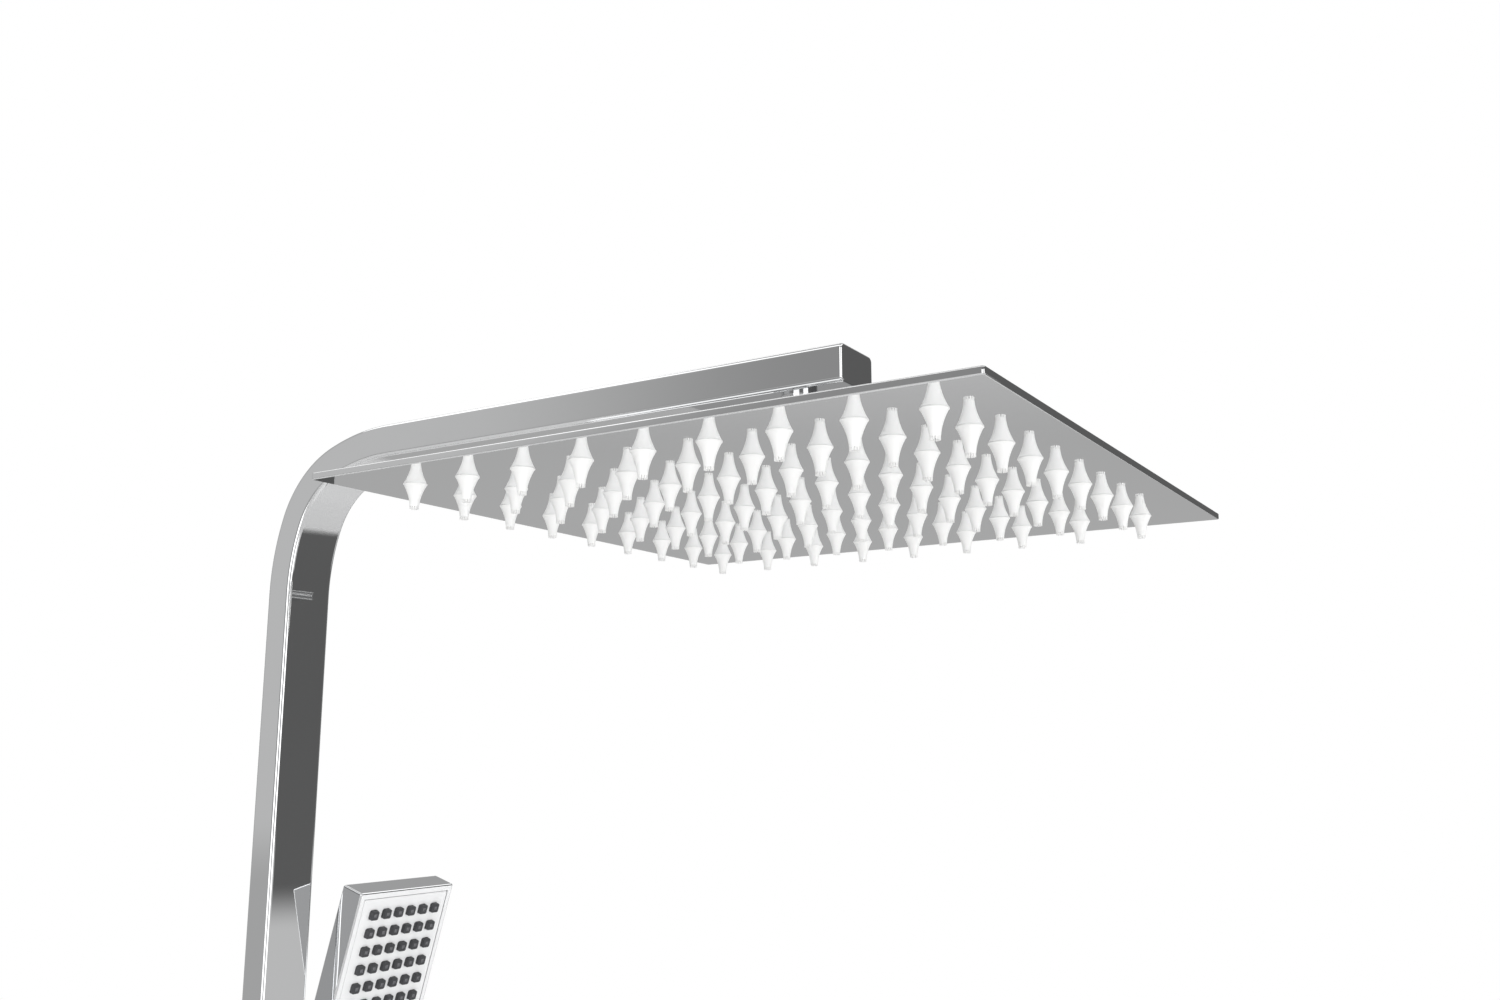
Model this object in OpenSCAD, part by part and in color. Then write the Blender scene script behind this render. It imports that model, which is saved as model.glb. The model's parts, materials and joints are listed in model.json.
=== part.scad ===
// Wall-hung rain shower column: thermostatic bar valve, bent riser, square rain head on a
// ball joint, and a flat hand shower in a sliding, tilting holder beside the riser.
// Millimetres. The wall is the plane Y = 0 and the room lies at -Y, +Z is up.
// The origin is on the wall, midway between the hot and the cold supply.

/* [Riser and arm] */
// Width of the riser tube, left to right
tube_w = 25; // [22:0.5:30]
// Thickness of the riser tube, front to back
tube_t = 15; // [14:0.5:18]
// Wall of the riser tube
tube_wall = 1.5; // [1:0.1:1.8]
// Outer corner radius of the riser tube
tube_r = 2; // [1:0.25:3]
// Gap between the wall and the riser's back
wall_gap = 50; // [42:1:60]
// From the riser's back to the axis of the rain head
reach = 286.5; // [235:0.5:350]
// Arm length beyond the axis of the rain head
arm_nose = 25; // [20:1:40]
// Centre-line radius of the bend
bend_r = 58; // [40:1:80]
// Thickness of the arm's end cap
cap_t = 1.2; // [0.8:0.1:2]
// How far the cap's plug reaches into the arm
cap_plug = 8; // [5:1:12]

/* [Rain head] */
// Height of the spray face above the supply line
head_h = 1080; // [900:10:1300]
// Side of the square rain head
head_w = 250; // [200:5:300]
// Corner radius of the rain head
head_r = 2; // [1:0.5:6]
// Thickness of the spray sheet
spray_t = 0.8; // [0.6:0.1:1.2]
// Depth of the water space between the sheets
cavity_t = 0.9; // [0.9:0.1:1.5]
// Thickness of the top sheet
top_t = 0.8; // [0.6:0.1:1.2]
// Width of the welded rim round the water space
rim_w = 3; // [2:0.5:6]
// Nozzles along each side of the square
nozzle_n = 9; // [5:1:9]
// From the head's edge to the middle of the outer nozzles
nozzle_margin = 25; // [10:0.5:30]
// Radius of a nozzle's foot against the spray sheet
nozzle_foot_r = 4.2; // [3.6:0.1:5]
// Radius of a nozzle's tip
nozzle_tip_r = 1.6; // [1.3:0.1:2]
// Length of a nozzle below the spray sheet
nozzle_len = 9; // [6:0.5:12]
// Radius of the water way in a nozzle
nozzle_bore_r = 0.6; // [0.4:0.1:0.9]
// Clear height between the head's top and the arm's underside
arm_gap = 38; // [36:0.5:50]

/* [Ball joint] */
// Radius of the ball
ball_r = 9; // [7.5:0.25:10.75]
// Radius of the ball's hollow stem
stem_r = 4.5; // [4:0.1:5]
// Radius of the water way in the ball
ball_bore_r = 3; // [2:0.25:3.25]
// Wall of the nut that holds the ball
nut_wall = 2.5; // [2:0.25:4]
// Radius of the neck under the arm
neck_r = 7.25; // [6:0.25:8.5]
// Radius of the water way in the neck
neck_bore_r = 4.5; // [3:0.25:5]
// Radius of the boss on the head's top sheet
hub_r = 14; // [10:0.5:14]
// Height of the boss on the head's top sheet
hub_t = 5; // [3:0.5:6]
// Clear height between the boss and the nut, which the head's tilt needs
hub_gap = 5.5; // [5:0.5:8]

/* [Hand shower] */
// Width of the flat spray blade
blade_w = 60; // [50:1:72]
// Thickness of the spray blade
blade_t = 13; // [12:0.5:15]
// Length of the spray blade
blade_len = 90; // [75:1:120]
// Edge radius of the blade
blade_r = 2; // [1:0.25:3]
// Length of the shoulders between blade and handle
shoulder_len = 22; // [16:1:30]
// Radius of the handle at its upper end
handle_r = 12; // [11:0.25:14.5]
// Radius of the handle at its lower end
handle_end_r = 9.8; // [9:0.1:10]
// From the middle of the cradle to the shoulders
handle_up = 28; // [24:1:34]
// From the middle of the cradle to the handle's lower end
handle_down = 38; // [30:1:42]
// Frame left round the spray plate
blade_frame = 3; // [2.5:0.5:4]
// Thickness of the spray plate
face_t = 2; // [1.5:0.1:2.5]
// Spray nozzles across the blade
jet_cols = 6; // [4:1:6]
// Spray nozzles along the blade
jet_rows = 9; // [5:1:9]
// From the blade's side to the middle of the outer nozzles
jet_side = 10.5; // [9:0.1:12]
// From the blade's top to the first row of nozzles
jet_top = 10.8; // [9:0.1:12]
// From the blade's lower end to the last row of nozzles
jet_bottom = 8.8; // [8:0.1:12]
// Side of a square spray nozzle
jet_s = 4.4; // [3.5:0.1:5]
// How far the nozzles stand out of the spray plate
jet_out = 2; // [1:0.25:3]
// Lean of the hand shower from upright
hand_tilt = 16.6; // [5:0.1:20]
// Smallest gap between the riser's side and the blade's side
hand_gap = 7.9; // [7:0.1:20]
// How far the cradle's middle lies behind the riser's back
hand_back = 7.4; // [6:0.1:12]

/* [Holder] */
// Height of the holder above the supply line
holder_z = 790; // [700:5:850]
// Height of the sliding block
slider_h = 40; // [34:1:50]
// Thickness of the plastic liner
liner_t = 1.2; // [0.8:0.1:1.6]
// Metal left and in front of the liner
slider_wall = 6; // [5:0.5:8]
// Width of the wing that carries the pivot
wing_w = 16; // [15:0.5:20]
// Wall of the cradle
cradle_wall = 2.2; // [1.8:0.1:4]
// Height of the cradle
cradle_h = 30; // [22:1:36]
// Width of the slot for the hose
slot_w = 13; // [11:0.5:15]
// Radius of the cradle's pivot
pivot_r = 5; // [4.5:0.1:6]
// Radius of the clamp knob
clamp_r = 11; // [8:0.5:14]

/* [Wall bracket] */
// Height of the wall bracket above the supply line
bracket_z = 520; // [400:10:600]
// Side of the square bracket post
post_s = 18; // [16:0.5:20]
// Side of the square wall plate
plate_s = 46; // [42:1:60]
// Thickness of the wall plate
plate_t = 5; // [4:0.5:6]
// Distance between the two wall screws
screw_pitch = 28; // [26:0.5:34]
// Radius of the wall screw holes
screw_hole_r = 2.3; // [2:0.1:2.75]

/* [Bar valve] */
// Length of the valve body
bar_len = 250; // [210:5:300]
// Side of the square valve body
bar_s = 44; // [40:1:52]
// Corner radius of the valve body
bar_r = 5; // [2:0.5:8]
// Distance between the hot and the cold supply
supply_pitch = 150; // [130:1:180]
// Radius of a half-inch pipe thread
thread_r = 10.48; // [10.48]
// Length of the supply threads in the wall
supply_thread = 14; // [10:1:20]
// Length of the hose outlet's thread
hose_thread = 12; // [9:1:16]
// Side of the square knobs
knob_s = 40; // [34:0.5:48]
// Thinnest wall of the knobs
knob_wall = 3.3; // [2.5:0.1:5]
// Length of the knobs
knob_len = 40; // [36:1:50]
// Radius of both cartridges
cartridge_r = 16.4; // [14:0.1:17]
// Radius of the knob spindles
spindle_r = 4; // [3.5:0.1:5]
// Side of the square wall flanges
flange_s = 56; // [50:1:70]
// Depth of the wall flanges
flange_t = 12; // [8:0.5:14]
// Travel of the temperature stop button
button_travel = 2; // [1.5:0.1:2]

/* [Hidden] */
$fn = 64;
slip = 0.05;
gap = 0.3;
eps = 0.01;

// riser
tube_y = -(wall_gap + tube_t / 2);
tube_in_w = tube_w - 2 * tube_wall;
tube_in_t = tube_t - 2 * tube_wall;
tube_in_r = max(tube_r - tube_wall, 0.4);
head_y = -(wall_gap + reach);
head_t = spray_t + cavity_t + top_t;
arm_low = head_h + head_t + arm_gap;
arm_z = arm_low + tube_t / 2;
arm_end = head_y - arm_nose;
bend_low = arm_z - bend_r;
bend_front = tube_y - bend_r;

// rain head
nozzle_pitch = (head_w - 2 * nozzle_margin) / (nozzle_n - 1);
nozzle_throat_r = nozzle_foot_r - 1.4;

// ball joint
nut_lip = 3;
seat_wall = 1.2;
seat_t = 3.4;
seat_depth = 3.7;
ball_z = head_h + head_t + hub_t + hub_gap + ball_r - nut_lip;
seat_high = ball_z + ball_r - seat_depth;
seat_low = seat_high - seat_t;
seat_r = ball_r + seat_wall;
nut_low = ball_z - ball_r + nut_lip;
nut_high = ball_z + ball_r + nut_lip;
nut_bore_r = seat_r + gap;
nut_r = nut_bore_r + nut_wall;
neck_flange_r = neck_r + 2.25;
neck_flange_t = 2;

// holder
liner_w = tube_w + 2 * liner_t;
liner_d = tube_t + 2 * liner_t;
slider_left = -(liner_w / 2 + slider_wall);
slider_front = tube_y - liner_d / 2 - slider_wall;
slider_back = tube_y + liner_d / 2 + 2.3;
wing_left = liner_w / 2 + 0.3;
wing_right = wing_left + wing_w;
wing_half = 12;
pivot_ring_t = 1;
pivot_seat = wing_right + pivot_ring_t;
pivot_len = 10;
pivot_bore_end = pivot_seat - pivot_len - 0.5;
screw_r = 2;
screw_head_r = 3.4;
screw_head_t = 3.4;
cradle_liner_t = 1.5;
cradle_r = handle_r + gap + cradle_liner_t + cradle_wall;
pad_r = 4;
pad_t = 1.5;
clamp_screw_r = 3;
clamp_len = 14;
clamp_boss_r = 6;
clamp_boss_t = 3.5;

// hand shower
cradle_clear = 3;
hand_x = max(tube_w / 2 + hand_gap + blade_w / 2, pivot_seat + cradle_clear + cradle_r);
hand_y = hand_back - wall_gap;
blade_low = handle_up + shoulder_len;
blade_high = blade_low + blade_len;
jet_z0 = blade_high - jet_top;
jet_pitch_x = (blade_w - 2 * jet_side) / (jet_cols - 1);
jet_pitch_z = (blade_len - jet_top - jet_bottom) / (jet_rows - 1);
face_w = blade_w - 2 * blade_frame;
face_h = blade_len - 2 * blade_frame;
face_z = blade_low + blade_frame;
chamber_lip = 2;
chamber_t = blade_t - face_t - 2.5;
hand_bore_r = 4.5;
insert_r = 7;
insert_len = 18;
handle_slope = (handle_r - handle_end_r) / (handle_down + handle_up - 6);

// bracket
stud_r = 4;
stud_len = 12;
spigot_r = 6;
spigot_len = 17;
cover_s = plate_s + 4;
cover_wall = 1.5;
cover_t = plate_t + 5;
lock_r = 2;

// valve
bar_half = bar_s / 2;
bar_back = tube_y + bar_half;
bar_end = bar_len / 2;
port_x = supply_pitch / 2;
union_bore_r = 7;
cart_bore_r = cartridge_r + 0.1;
cart_bore_in = port_x - union_bore_r;
cart_in = cart_bore_in + 1;
nut_t = 5;
cart_out = bar_end - nut_t;
disc_r = cartridge_r - 3;
disc_port = disc_r - 6.4;
disc_t = 4;
stub_r = 9.5;
stub_end = bar_back + 4.5;
stub_flange_t = 2;
stub_flange_r = 12.8;
washer_t = 1;
union_r = 13.2;
union_start = stub_end + washer_t;
union_shoulder = -flange_t - 8;
union_neck_r = thread_r - 0.5;
union_nut_t = 14;
union_nut_r = 17.3;
knob_gap = 1;
knob_in = bar_end + knob_gap;
knob_out = knob_in + knob_len;
knob_cup = knob_in + 14;
knob_cup_r = knob_s / 2 - knob_wall;
knob_seat = knob_in + 26;
knob_r = 4;
knob_screw_r = 1.6;
knob_screw_head_r = 3.2;
stop_ring_r = knob_cup_r - 2.2;
spigot_foot_r = 7.5;
spigot_foot_len = 14;
groove_t = 1.2;
foot_t = 2;
foot_plug = 20;
foot_bore_r = 4.5;
collar_wall = 4;
collar_t = 12;
button_r = 4.5;
button_x = knob_in + 19;
button_seat = spindle_r + 2;
spring_h = 4.5;
spring_turns = 5;

// rounded rectangle of size w by t
module rounded(w, t, r) {
  square([w - 2 * r, t], center = true);
  square([w, t - 2 * r], center = true);
  for (x = [-1, 1], y = [-1, 1])
    translate([x * (w / 2 - r), y * (t / 2 - r)]) circle(r);
}

// section of the riser tube, with its first side given as w
module tube_section(w, t) {
  difference() {
    rounded(w, t, tube_r);
    rounded(w - 2 * tube_wall, t - 2 * tube_wall, tube_in_r);
  }
}

// turns a shape so that its X, Y, Z lie along Y, Z, X
module side_plane() {
  rotate([90, 0, 90]) children();
}

// cylinder along +X, +Y or -Y from the current point
module rod_x(r, h) {
  rotate([0, 90, 0]) cylinder(r = r, h = h);
}

module rod_y(r, h) {
  rotate([-90, 0, 0]) cylinder(r = r, h = h);
}

module riser_tube() color("silver") {
  difference() {
    union() {
      translate([0, tube_y, bar_half + foot_t])
        linear_extrude(bend_low - bar_half - foot_t) tube_section(tube_w, tube_t);
      translate([0, bend_front, bend_low]) side_plane()
        rotate_extrude(angle = 90, $fn = 180) translate([bend_r, 0])
          tube_section(tube_t, tube_w);
      translate([0, bend_front, arm_z]) rotate([90, 0, 0])
        linear_extrude(bend_front - arm_end - cap_t) tube_section(tube_w, tube_t);
    }
    translate([0, head_y, arm_low - 1]) cylinder(r = neck_r, h = tube_wall + 2);
    translate([0, -wall_gap - tube_wall - 1, bracket_z]) rod_y(stud_r, tube_wall + 2);
  }
}

module arm_end_cap() color("silver") {
  translate([0, arm_end + cap_t, arm_z]) rotate([90, 0, 0])
    linear_extrude(cap_t) rounded(tube_w, tube_t, tube_r);
  translate([0, arm_end + cap_t + cap_plug, arm_z]) rotate([90, 0, 0])
    linear_extrude(cap_plug)
      rounded(tube_in_w - 2 * slip, tube_in_t - 2 * slip, tube_in_r);
}

module arm_neck() color("silver") {
  translate([0, head_y, 0]) difference() {
    union() {
      translate([0, 0, arm_low + tube_wall])
        cylinder(r = neck_flange_r, h = neck_flange_t);
      translate([0, 0, nut_high])
        cylinder(r = neck_r, h = arm_low + tube_wall - nut_high + eps);
      translate([0, 0, seat_high]) cylinder(r = nut_bore_r, h = nut_high - seat_high + eps);
    }
    translate([0, 0, seat_high - 1])
      cylinder(r = neck_bore_r, h = arm_low + tube_wall + neck_flange_t - seat_high + 2);
    translate([0, 0, ball_z]) sphere(ball_r + gap);
  }
}

module flow_regulator() color("tan") {
  translate([0, head_y, arm_low - 3]) difference() {
    cylinder(r = neck_bore_r, h = 4);
    for (a = [0:60:300])
      rotate(a) translate([neck_bore_r * 0.55, 0, -1]) cylinder(r = 0.6, h = 6);
  }
}

module riser_foot() color("goldenrod") {
  translate([0, tube_y, 0]) difference() {
    union() {
      translate([0, 0, bar_half]) linear_extrude(foot_t) rounded(tube_w, tube_t, tube_r);
      translate([0, 0, bar_half + foot_t]) linear_extrude(foot_plug)
        rounded(tube_in_w - 2 * slip, tube_in_t - 2 * slip, tube_in_r);
      translate([0, 0, bar_half - spigot_foot_len])
        cylinder(r = spigot_foot_r, h = spigot_foot_len + eps);
    }
    translate([0, 0, bar_half - spigot_foot_len - 1])
      cylinder(r = foot_bore_r, h = spigot_foot_len + foot_t + foot_plug + 2);
    translate([0, 0, bar_half - 11]) foot_groove();
  }
}

// ring-shaped groove for the sealing ring in the foot's spigot
module foot_groove() {
  difference() {
    cylinder(r = spigot_foot_r + 1, h = 2);
    translate([0, 0, -1]) cylinder(r = spigot_foot_r - groove_t, h = 4);
  }
}

module riser_o_ring() color("dimgray") {
  translate([0, tube_y, bar_half - 10])
    rotate_extrude() translate([spigot_foot_r - groove_t / 2, 0])
      circle(groove_t / 2, $fn = 24);
}

module riser_collar() color("silver") {
  translate([0, tube_y, bar_half]) difference() {
    linear_extrude(collar_t)
      rounded(tube_w + 2 * collar_wall, tube_t + 2 * collar_wall, tube_r + 1);
    translate([0, 0, -1]) linear_extrude(collar_t + 2)
      rounded(tube_w + 2 * slip, tube_t + 2 * slip, tube_r);
  }
}

module riser_set_screw() color("gray") {
  translate([0, tube_y + spigot_foot_r, bar_half - 4]) difference() {
    rod_y(lock_r, bar_half - spigot_foot_r - 3);
    translate([0, bar_half - spigot_foot_r - 5, 0]) rotate([-90, 0, 0])
      cylinder(r = 1.1, h = 4, $fn = 6);
  }
}

module riser_stud() color("gray") {
  translate([0, -wall_gap - tube_wall - 2, bracket_z]) rod_y(7, 2);
  translate([0, -wall_gap - tube_wall - 1, bracket_z]) rod_y(stud_r, tube_wall + stud_len + 1);
}

module bracket_post() color("silver") {
  difference() {
    translate([0, -plate_t - 1, bracket_z]) rotate([90, 0, 0])
      linear_extrude(wall_gap - plate_t - 1) rounded(post_s, post_s, 1.5);
    translate([0, -wall_gap - 1, bracket_z]) rod_y(stud_r, stud_len + 2);
    translate([0, -plate_t - spigot_len - 1, bracket_z]) rod_y(spigot_r + slip, spigot_len + 2);
    translate([0, -plate_t - spigot_len / 2, bracket_z - post_s])
      cylinder(r = lock_r, h = post_s);
  }
}

module bracket_base() color("gray") {
  difference() {
    union() {
      translate([-plate_s / 2, -plate_t, bracket_z - plate_s / 2])
        cube([plate_s, plate_t, plate_s]);
      translate([0, -plate_t - spigot_len, bracket_z]) rod_y(spigot_r, spigot_len + eps);
    }
    for (s = [-1, 1])
      translate([0, -plate_t - 1, bracket_z + s * screw_pitch / 2])
        rod_y(screw_hole_r, plate_t + 2);
  }
}

module bracket_cover() color("silver") {
  difference() {
    translate([0, 0, bracket_z]) rotate([90, 0, 0]) linear_extrude(cover_t)
      rounded(cover_s, cover_s, 2);
    translate([0, 1, bracket_z]) rotate([90, 0, 0]) linear_extrude(cover_t - cover_wall + 1)
      rounded(cover_s - 2 * cover_wall, cover_s - 2 * cover_wall, 1);
    translate([0, 1, bracket_z]) rotate([90, 0, 0]) linear_extrude(cover_t + 2)
      rounded(post_s + 0.2, post_s + 0.2, 1.5);
  }
}

module bracket_set_screw() color("gray") {
  translate([0, -plate_t - spigot_len / 2, bracket_z - post_s / 2 + 0.3]) difference() {
    cylinder(r = lock_r, h = post_s / 2 - spigot_r - 0.3);
    translate([0, 0, -1]) cylinder(r = 1.1, h = 2.2, $fn = 6);
  }
}

module swivel_nut() color("silver") {
  translate([0, head_y, 0]) difference() {
    union() {
      translate([0, 0, nut_low + 1]) cylinder(r = nut_r, h = nut_high - nut_low - 2);
      translate([0, 0, nut_low]) cylinder(r1 = nut_r - 1, r2 = nut_r, h = 1 + eps);
      translate([0, 0, nut_high - 1 - eps]) cylinder(r1 = nut_r, r2 = nut_r - 1, h = 1 + eps);
    }
    translate([0, 0, ball_z]) sphere(ball_r + slip);
    translate([0, 0, seat_low - 0.2]) cylinder(r = nut_bore_r, h = nut_high - seat_low + 1);
  }
}

module ball_seat() color("white") {
  translate([0, head_y, 0]) difference() {
    translate([0, 0, seat_low]) cylinder(r = seat_r, h = seat_t);
    translate([0, 0, ball_z]) sphere(ball_r + slip);
  }
}

module swivel_ball() color("silver") {
  translate([0, head_y, 0]) difference() {
    union() {
      translate([0, 0, ball_z]) sphere(ball_r);
      translate([0, 0, head_h + head_t - top_t + 0.2])
        cylinder(r = stem_r, h = ball_z - head_h - head_t + top_t);
    }
    translate([0, 0, head_h]) cylinder(r = ball_bore_r, h = 2 * (ball_z - head_h));
  }
}

module head_hub() color("silver") {
  translate([0, head_y, head_h + head_t]) difference() {
    union() {
      cylinder(r = hub_r, h = hub_t - 1);
      translate([0, 0, hub_t - 1 - eps]) cylinder(r1 = hub_r, r2 = hub_r - 1, h = 1 + eps);
    }
    translate([0, 0, -1]) cylinder(r = stem_r + slip, h = hub_t + 2);
  }
}

module head_top_sheet() color("silver") {
  translate([0, head_y, head_h + spray_t]) difference() {
    linear_extrude(cavity_t + top_t) rounded(head_w, head_w, head_r);
    translate([0, 0, -1]) linear_extrude(cavity_t + 1)
      square(head_w - 2 * rim_w, center = true);
    cylinder(r = stem_r + slip, h = cavity_t + top_t + 1);
  }
}

// places a child at every nozzle of the rain head
module each_nozzle() {
  span = (nozzle_n - 1) / 2 * nozzle_pitch;
  for (x = [-span:nozzle_pitch:span], y = [-span:nozzle_pitch:span])
    translate([x, head_y + y, head_h]) children();
}

module head_spray_sheet() color("silver") {
  difference() {
    translate([0, head_y, head_h]) linear_extrude(spray_t) rounded(head_w, head_w, head_r);
    each_nozzle() translate([0, 0, -1]) cylinder(r = nozzle_throat_r, h = spray_t + 2);
  }
}

module rain_nozzles() color("white") {
  each_nozzle() rotate_extrude($fn = 32) polygon([
    [nozzle_bore_r, -nozzle_len], [nozzle_tip_r, -nozzle_len],
    [nozzle_tip_r, -nozzle_len * 0.83], [nozzle_tip_r * 1.22, -nozzle_len * 0.69],
    [nozzle_tip_r * 1.63, -nozzle_len * 0.49], [nozzle_foot_r - 0.3, -0.9],
    [nozzle_foot_r, 0], [nozzle_throat_r, 0], [nozzle_throat_r, spray_t],
    [nozzle_throat_r + 0.9, spray_t], [nozzle_throat_r + 0.9, spray_t + 0.6], [nozzle_bore_r, spray_t + 0.6]
  ]);
}

module holder_slider() color("silver") {
  difference() {
    translate([0, 0, holder_z - slider_h / 2]) linear_extrude(slider_h) union() {
      translate([slider_left, slider_front])
        square([wing_right - slider_left, slider_back - slider_front]);
      translate([wing_left, slider_back - 6])
        square([wing_w, hand_y + wing_half - slider_back + 6]);
    }
    translate([0, tube_y, holder_z - slider_h / 2 - 1]) linear_extrude(slider_h + 2)
      rounded(liner_w, liner_d, tube_r);
    translate([pivot_bore_end, hand_y, holder_z]) rod_x(pivot_r + slip, wing_w);
    translate([wing_left - 1, hand_y, holder_z]) rod_x(screw_r + 0.4, wing_w);
    translate([wing_left - 1, hand_y, holder_z])
      rod_x(screw_head_r + 0.2, pivot_bore_end - wing_left - 1.5);
    translate([slider_left - 1, tube_y, holder_z]) rod_x(clamp_screw_r + slip, slider_wall + 2);
    translate([-liner_w / 2 - pad_t, tube_y, holder_z]) rod_x(pad_r, pad_t + 1);
  }
}

module holder_liner() color("dimgray") {
  translate([0, tube_y, holder_z - slider_h / 2]) difference() {
    linear_extrude(slider_h) rounded(liner_w, liner_d, tube_r);
    translate([0, 0, -1]) linear_extrude(slider_h + 2)
      rounded(tube_w + 0.2, tube_t + 0.2, tube_r);
  }
}

module clamp_pad() color("goldenrod") {
  translate([-liner_w / 2 - pad_t, tube_y, holder_z]) rod_x(pad_r, pad_t);
}

module clamp_knob() color("silver") {
  translate([0, tube_y, holder_z]) difference() {
    union() {
      translate([slider_left - clamp_boss_t - clamp_len, 0, 0]) rod_x(clamp_r, clamp_len);
      translate([slider_left - clamp_boss_t - eps, 0, 0])
        rod_x(clamp_boss_r, clamp_boss_t - gap);
      translate([slider_left - clamp_boss_t, 0, 0])
        rod_x(clamp_screw_r, clamp_boss_t + slider_wall - pad_t - 0.1);
    }
    for (a = [0:30:330])
      rotate([a, 0, 0]) translate([slider_left - clamp_boss_t - clamp_len - 1, 0, clamp_r + 0.8])
        rod_x(1.6, clamp_len + 2);
  }
}

// frame of the hand shower: origin in the cradle, Z along the handle
module at_hand() {
  translate([hand_x, hand_y, holder_z]) rotate([hand_tilt, 0, 0]) children();
}

function handle_radius(z) = handle_end_r + (z + handle_down) * handle_slope;

// the handle's cone, grown by g, between two heights
module handle_cone(z0, z1, g) {
  translate([0, 0, z0])
    cylinder(r1 = handle_radius(z0) + g, r2 = handle_radius(z1) + g, h = z1 - z0);
}

module holder_cradle() color("silver") {
  half = cradle_h / 2;
  neck_x = pivot_seat - hand_x;
  at_hand() difference() {
    union() {
      translate([0, 0, -half]) cylinder(r = cradle_r, h = cradle_h);
      translate([neck_x, 0, 0]) rod_x(half - 3, -neck_x - pivot_r);
      translate([neck_x - pivot_len, 0, 0]) rod_x(pivot_r, pivot_len + eps);
    }
    handle_cone(-half - 1, half + 1, gap + cradle_liner_t);
    translate([-slot_w / 2, -2 * cradle_r, -half - 1])
      cube([slot_w, 2 * cradle_r, cradle_h + 2]);
    translate([neck_x - pivot_len - 1, 0, 0]) rod_x(screw_r, pivot_len);
  }
}

module cradle_liner() color("dimgray") {
  half = cradle_h / 2;
  at_hand() difference() {
    handle_cone(-half, half, gap + cradle_liner_t);
    handle_cone(-half - 1, half + 1, gap);
    translate([-slot_w / 2, -2 * cradle_r, -half - 1])
      cube([slot_w, 2 * cradle_r, cradle_h + 2]);
  }
}

module pivot_ring() color("dimgray") {
  translate([wing_right, hand_y, holder_z]) difference() {
    rod_x(pivot_r + 4, pivot_ring_t - 0.1);
    translate([-1, 0, 0]) rod_x(pivot_r + 0.2, pivot_ring_t + 2);
  }
}

module pivot_screw() color("gray") {
  head_in = pivot_bore_end - 2.5;
  translate([head_in - screw_head_t - 0.2, hand_y, holder_z]) difference() {
    union() {
      rod_x(screw_head_r, screw_head_t);
      translate([screw_head_t - eps, 0, 0]) rod_x(screw_r, pivot_len + 1);
    }
    translate([-1, 0, 0]) rotate([0, 90, 0]) cylinder(r = 1.4, h = 2.8, $fn = 6);
  }
}

module handset_body() color("silver") {
  at_hand() difference() {
    union() {
      translate([0, 0, blade_low]) linear_extrude(blade_len) rounded(blade_w, blade_t, blade_r);
      translate([0, blade_t / 2, 0]) rotate([90, 0, 0]) linear_extrude(blade_t) polygon([
        [-handle_r, handle_up - 6], [handle_r, handle_up - 6], [handle_r, handle_up],
        [blade_w / 2 - blade_r, blade_low + eps], [blade_r - blade_w / 2, blade_low + eps],
        [-handle_r, handle_up]
      ]);
      handle_cone(-handle_down, handle_up - 6, 0);
      translate([0, 0, handle_up - 6 - eps])
        cylinder(r1 = handle_r, r2 = blade_t / 2 - 1, h = shoulder_len);
    }
    translate([0, 0, -handle_down - 1]) cylinder(r = insert_r, h = insert_len + 1);
    translate([0, 0, -handle_down]) cylinder(r = hand_bore_r, h = face_z + handle_down + 2);
    translate([-face_w / 2, -blade_t / 2 - 1, face_z]) cube([face_w, face_t + 1, face_h]);
    translate([chamber_lip - face_w / 2, -blade_t / 2 + face_t - eps, face_z + chamber_lip])
      cube([face_w - 2 * chamber_lip, chamber_t, face_h - 2 * chamber_lip]);
  }
}

// places a child at every spray nozzle of the hand shower, on the blade's front
module each_jet() {
  half = (jet_cols - 1) / 2 * jet_pitch_x;
  for (x = [-half:jet_pitch_x:half], k = [0:jet_rows - 1])
    translate([x, -blade_t / 2, jet_z0 - k * jet_pitch_z]) children();
}

module handset_spray_plate() color("white") {
  at_hand() difference() {
    translate([-face_w / 2, -blade_t / 2, face_z]) cube([face_w, face_t, face_h]);
    each_jet() translate([-jet_s / 2, -1, -jet_s / 2]) cube([jet_s, face_t + 2, jet_s]);
  }
}

module handset_nozzle_mat() color("dimgray") {
  mat_w = face_w - 2 * chamber_lip - 0.2;
  mat_h = face_h - 2 * chamber_lip - 0.2;
  at_hand() difference() {
    union() {
      translate([-mat_w / 2, face_t - blade_t / 2, face_z + chamber_lip + 0.1])
        cube([mat_w, 1.2, mat_h]);
      each_jet() translate([0.1 - jet_s / 2, -jet_out, 0.1 - jet_s / 2])
        cube([jet_s - 0.2, jet_out + face_t + eps, jet_s - 0.2]);
    }
    each_jet() translate([0, -jet_out - 1, 0]) rod_y(0.8, jet_out + face_t + 3);
  }
}

module handset_inlet() color("goldenrod") {
  at_hand() difference() {
    union() {
      translate([0, 0, -handle_down]) cylinder(r = insert_r - eps, h = insert_len);
      translate([0, 0, -handle_down - 15]) cylinder(r = thread_r, h = 15);
    }
    translate([0, 0, -handle_down - 16]) cylinder(r = hand_bore_r, h = insert_len + 17);
  }
}

module handset_regulator() color("tan") {
  at_hand() translate([0, 0, -handle_down - 8]) difference() {
    cylinder(r = hand_bore_r, h = 4);
    for (a = [0:60:300])
      rotate(a) translate([2.4, 0, -1]) cylinder(r = 0.6, h = 6);
  }
}

// places a child at each supply, with its origin on the wall
module each_supply() {
  for (s = [-1, 1]) translate([s * port_x, 0, 0]) children();
}

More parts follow.
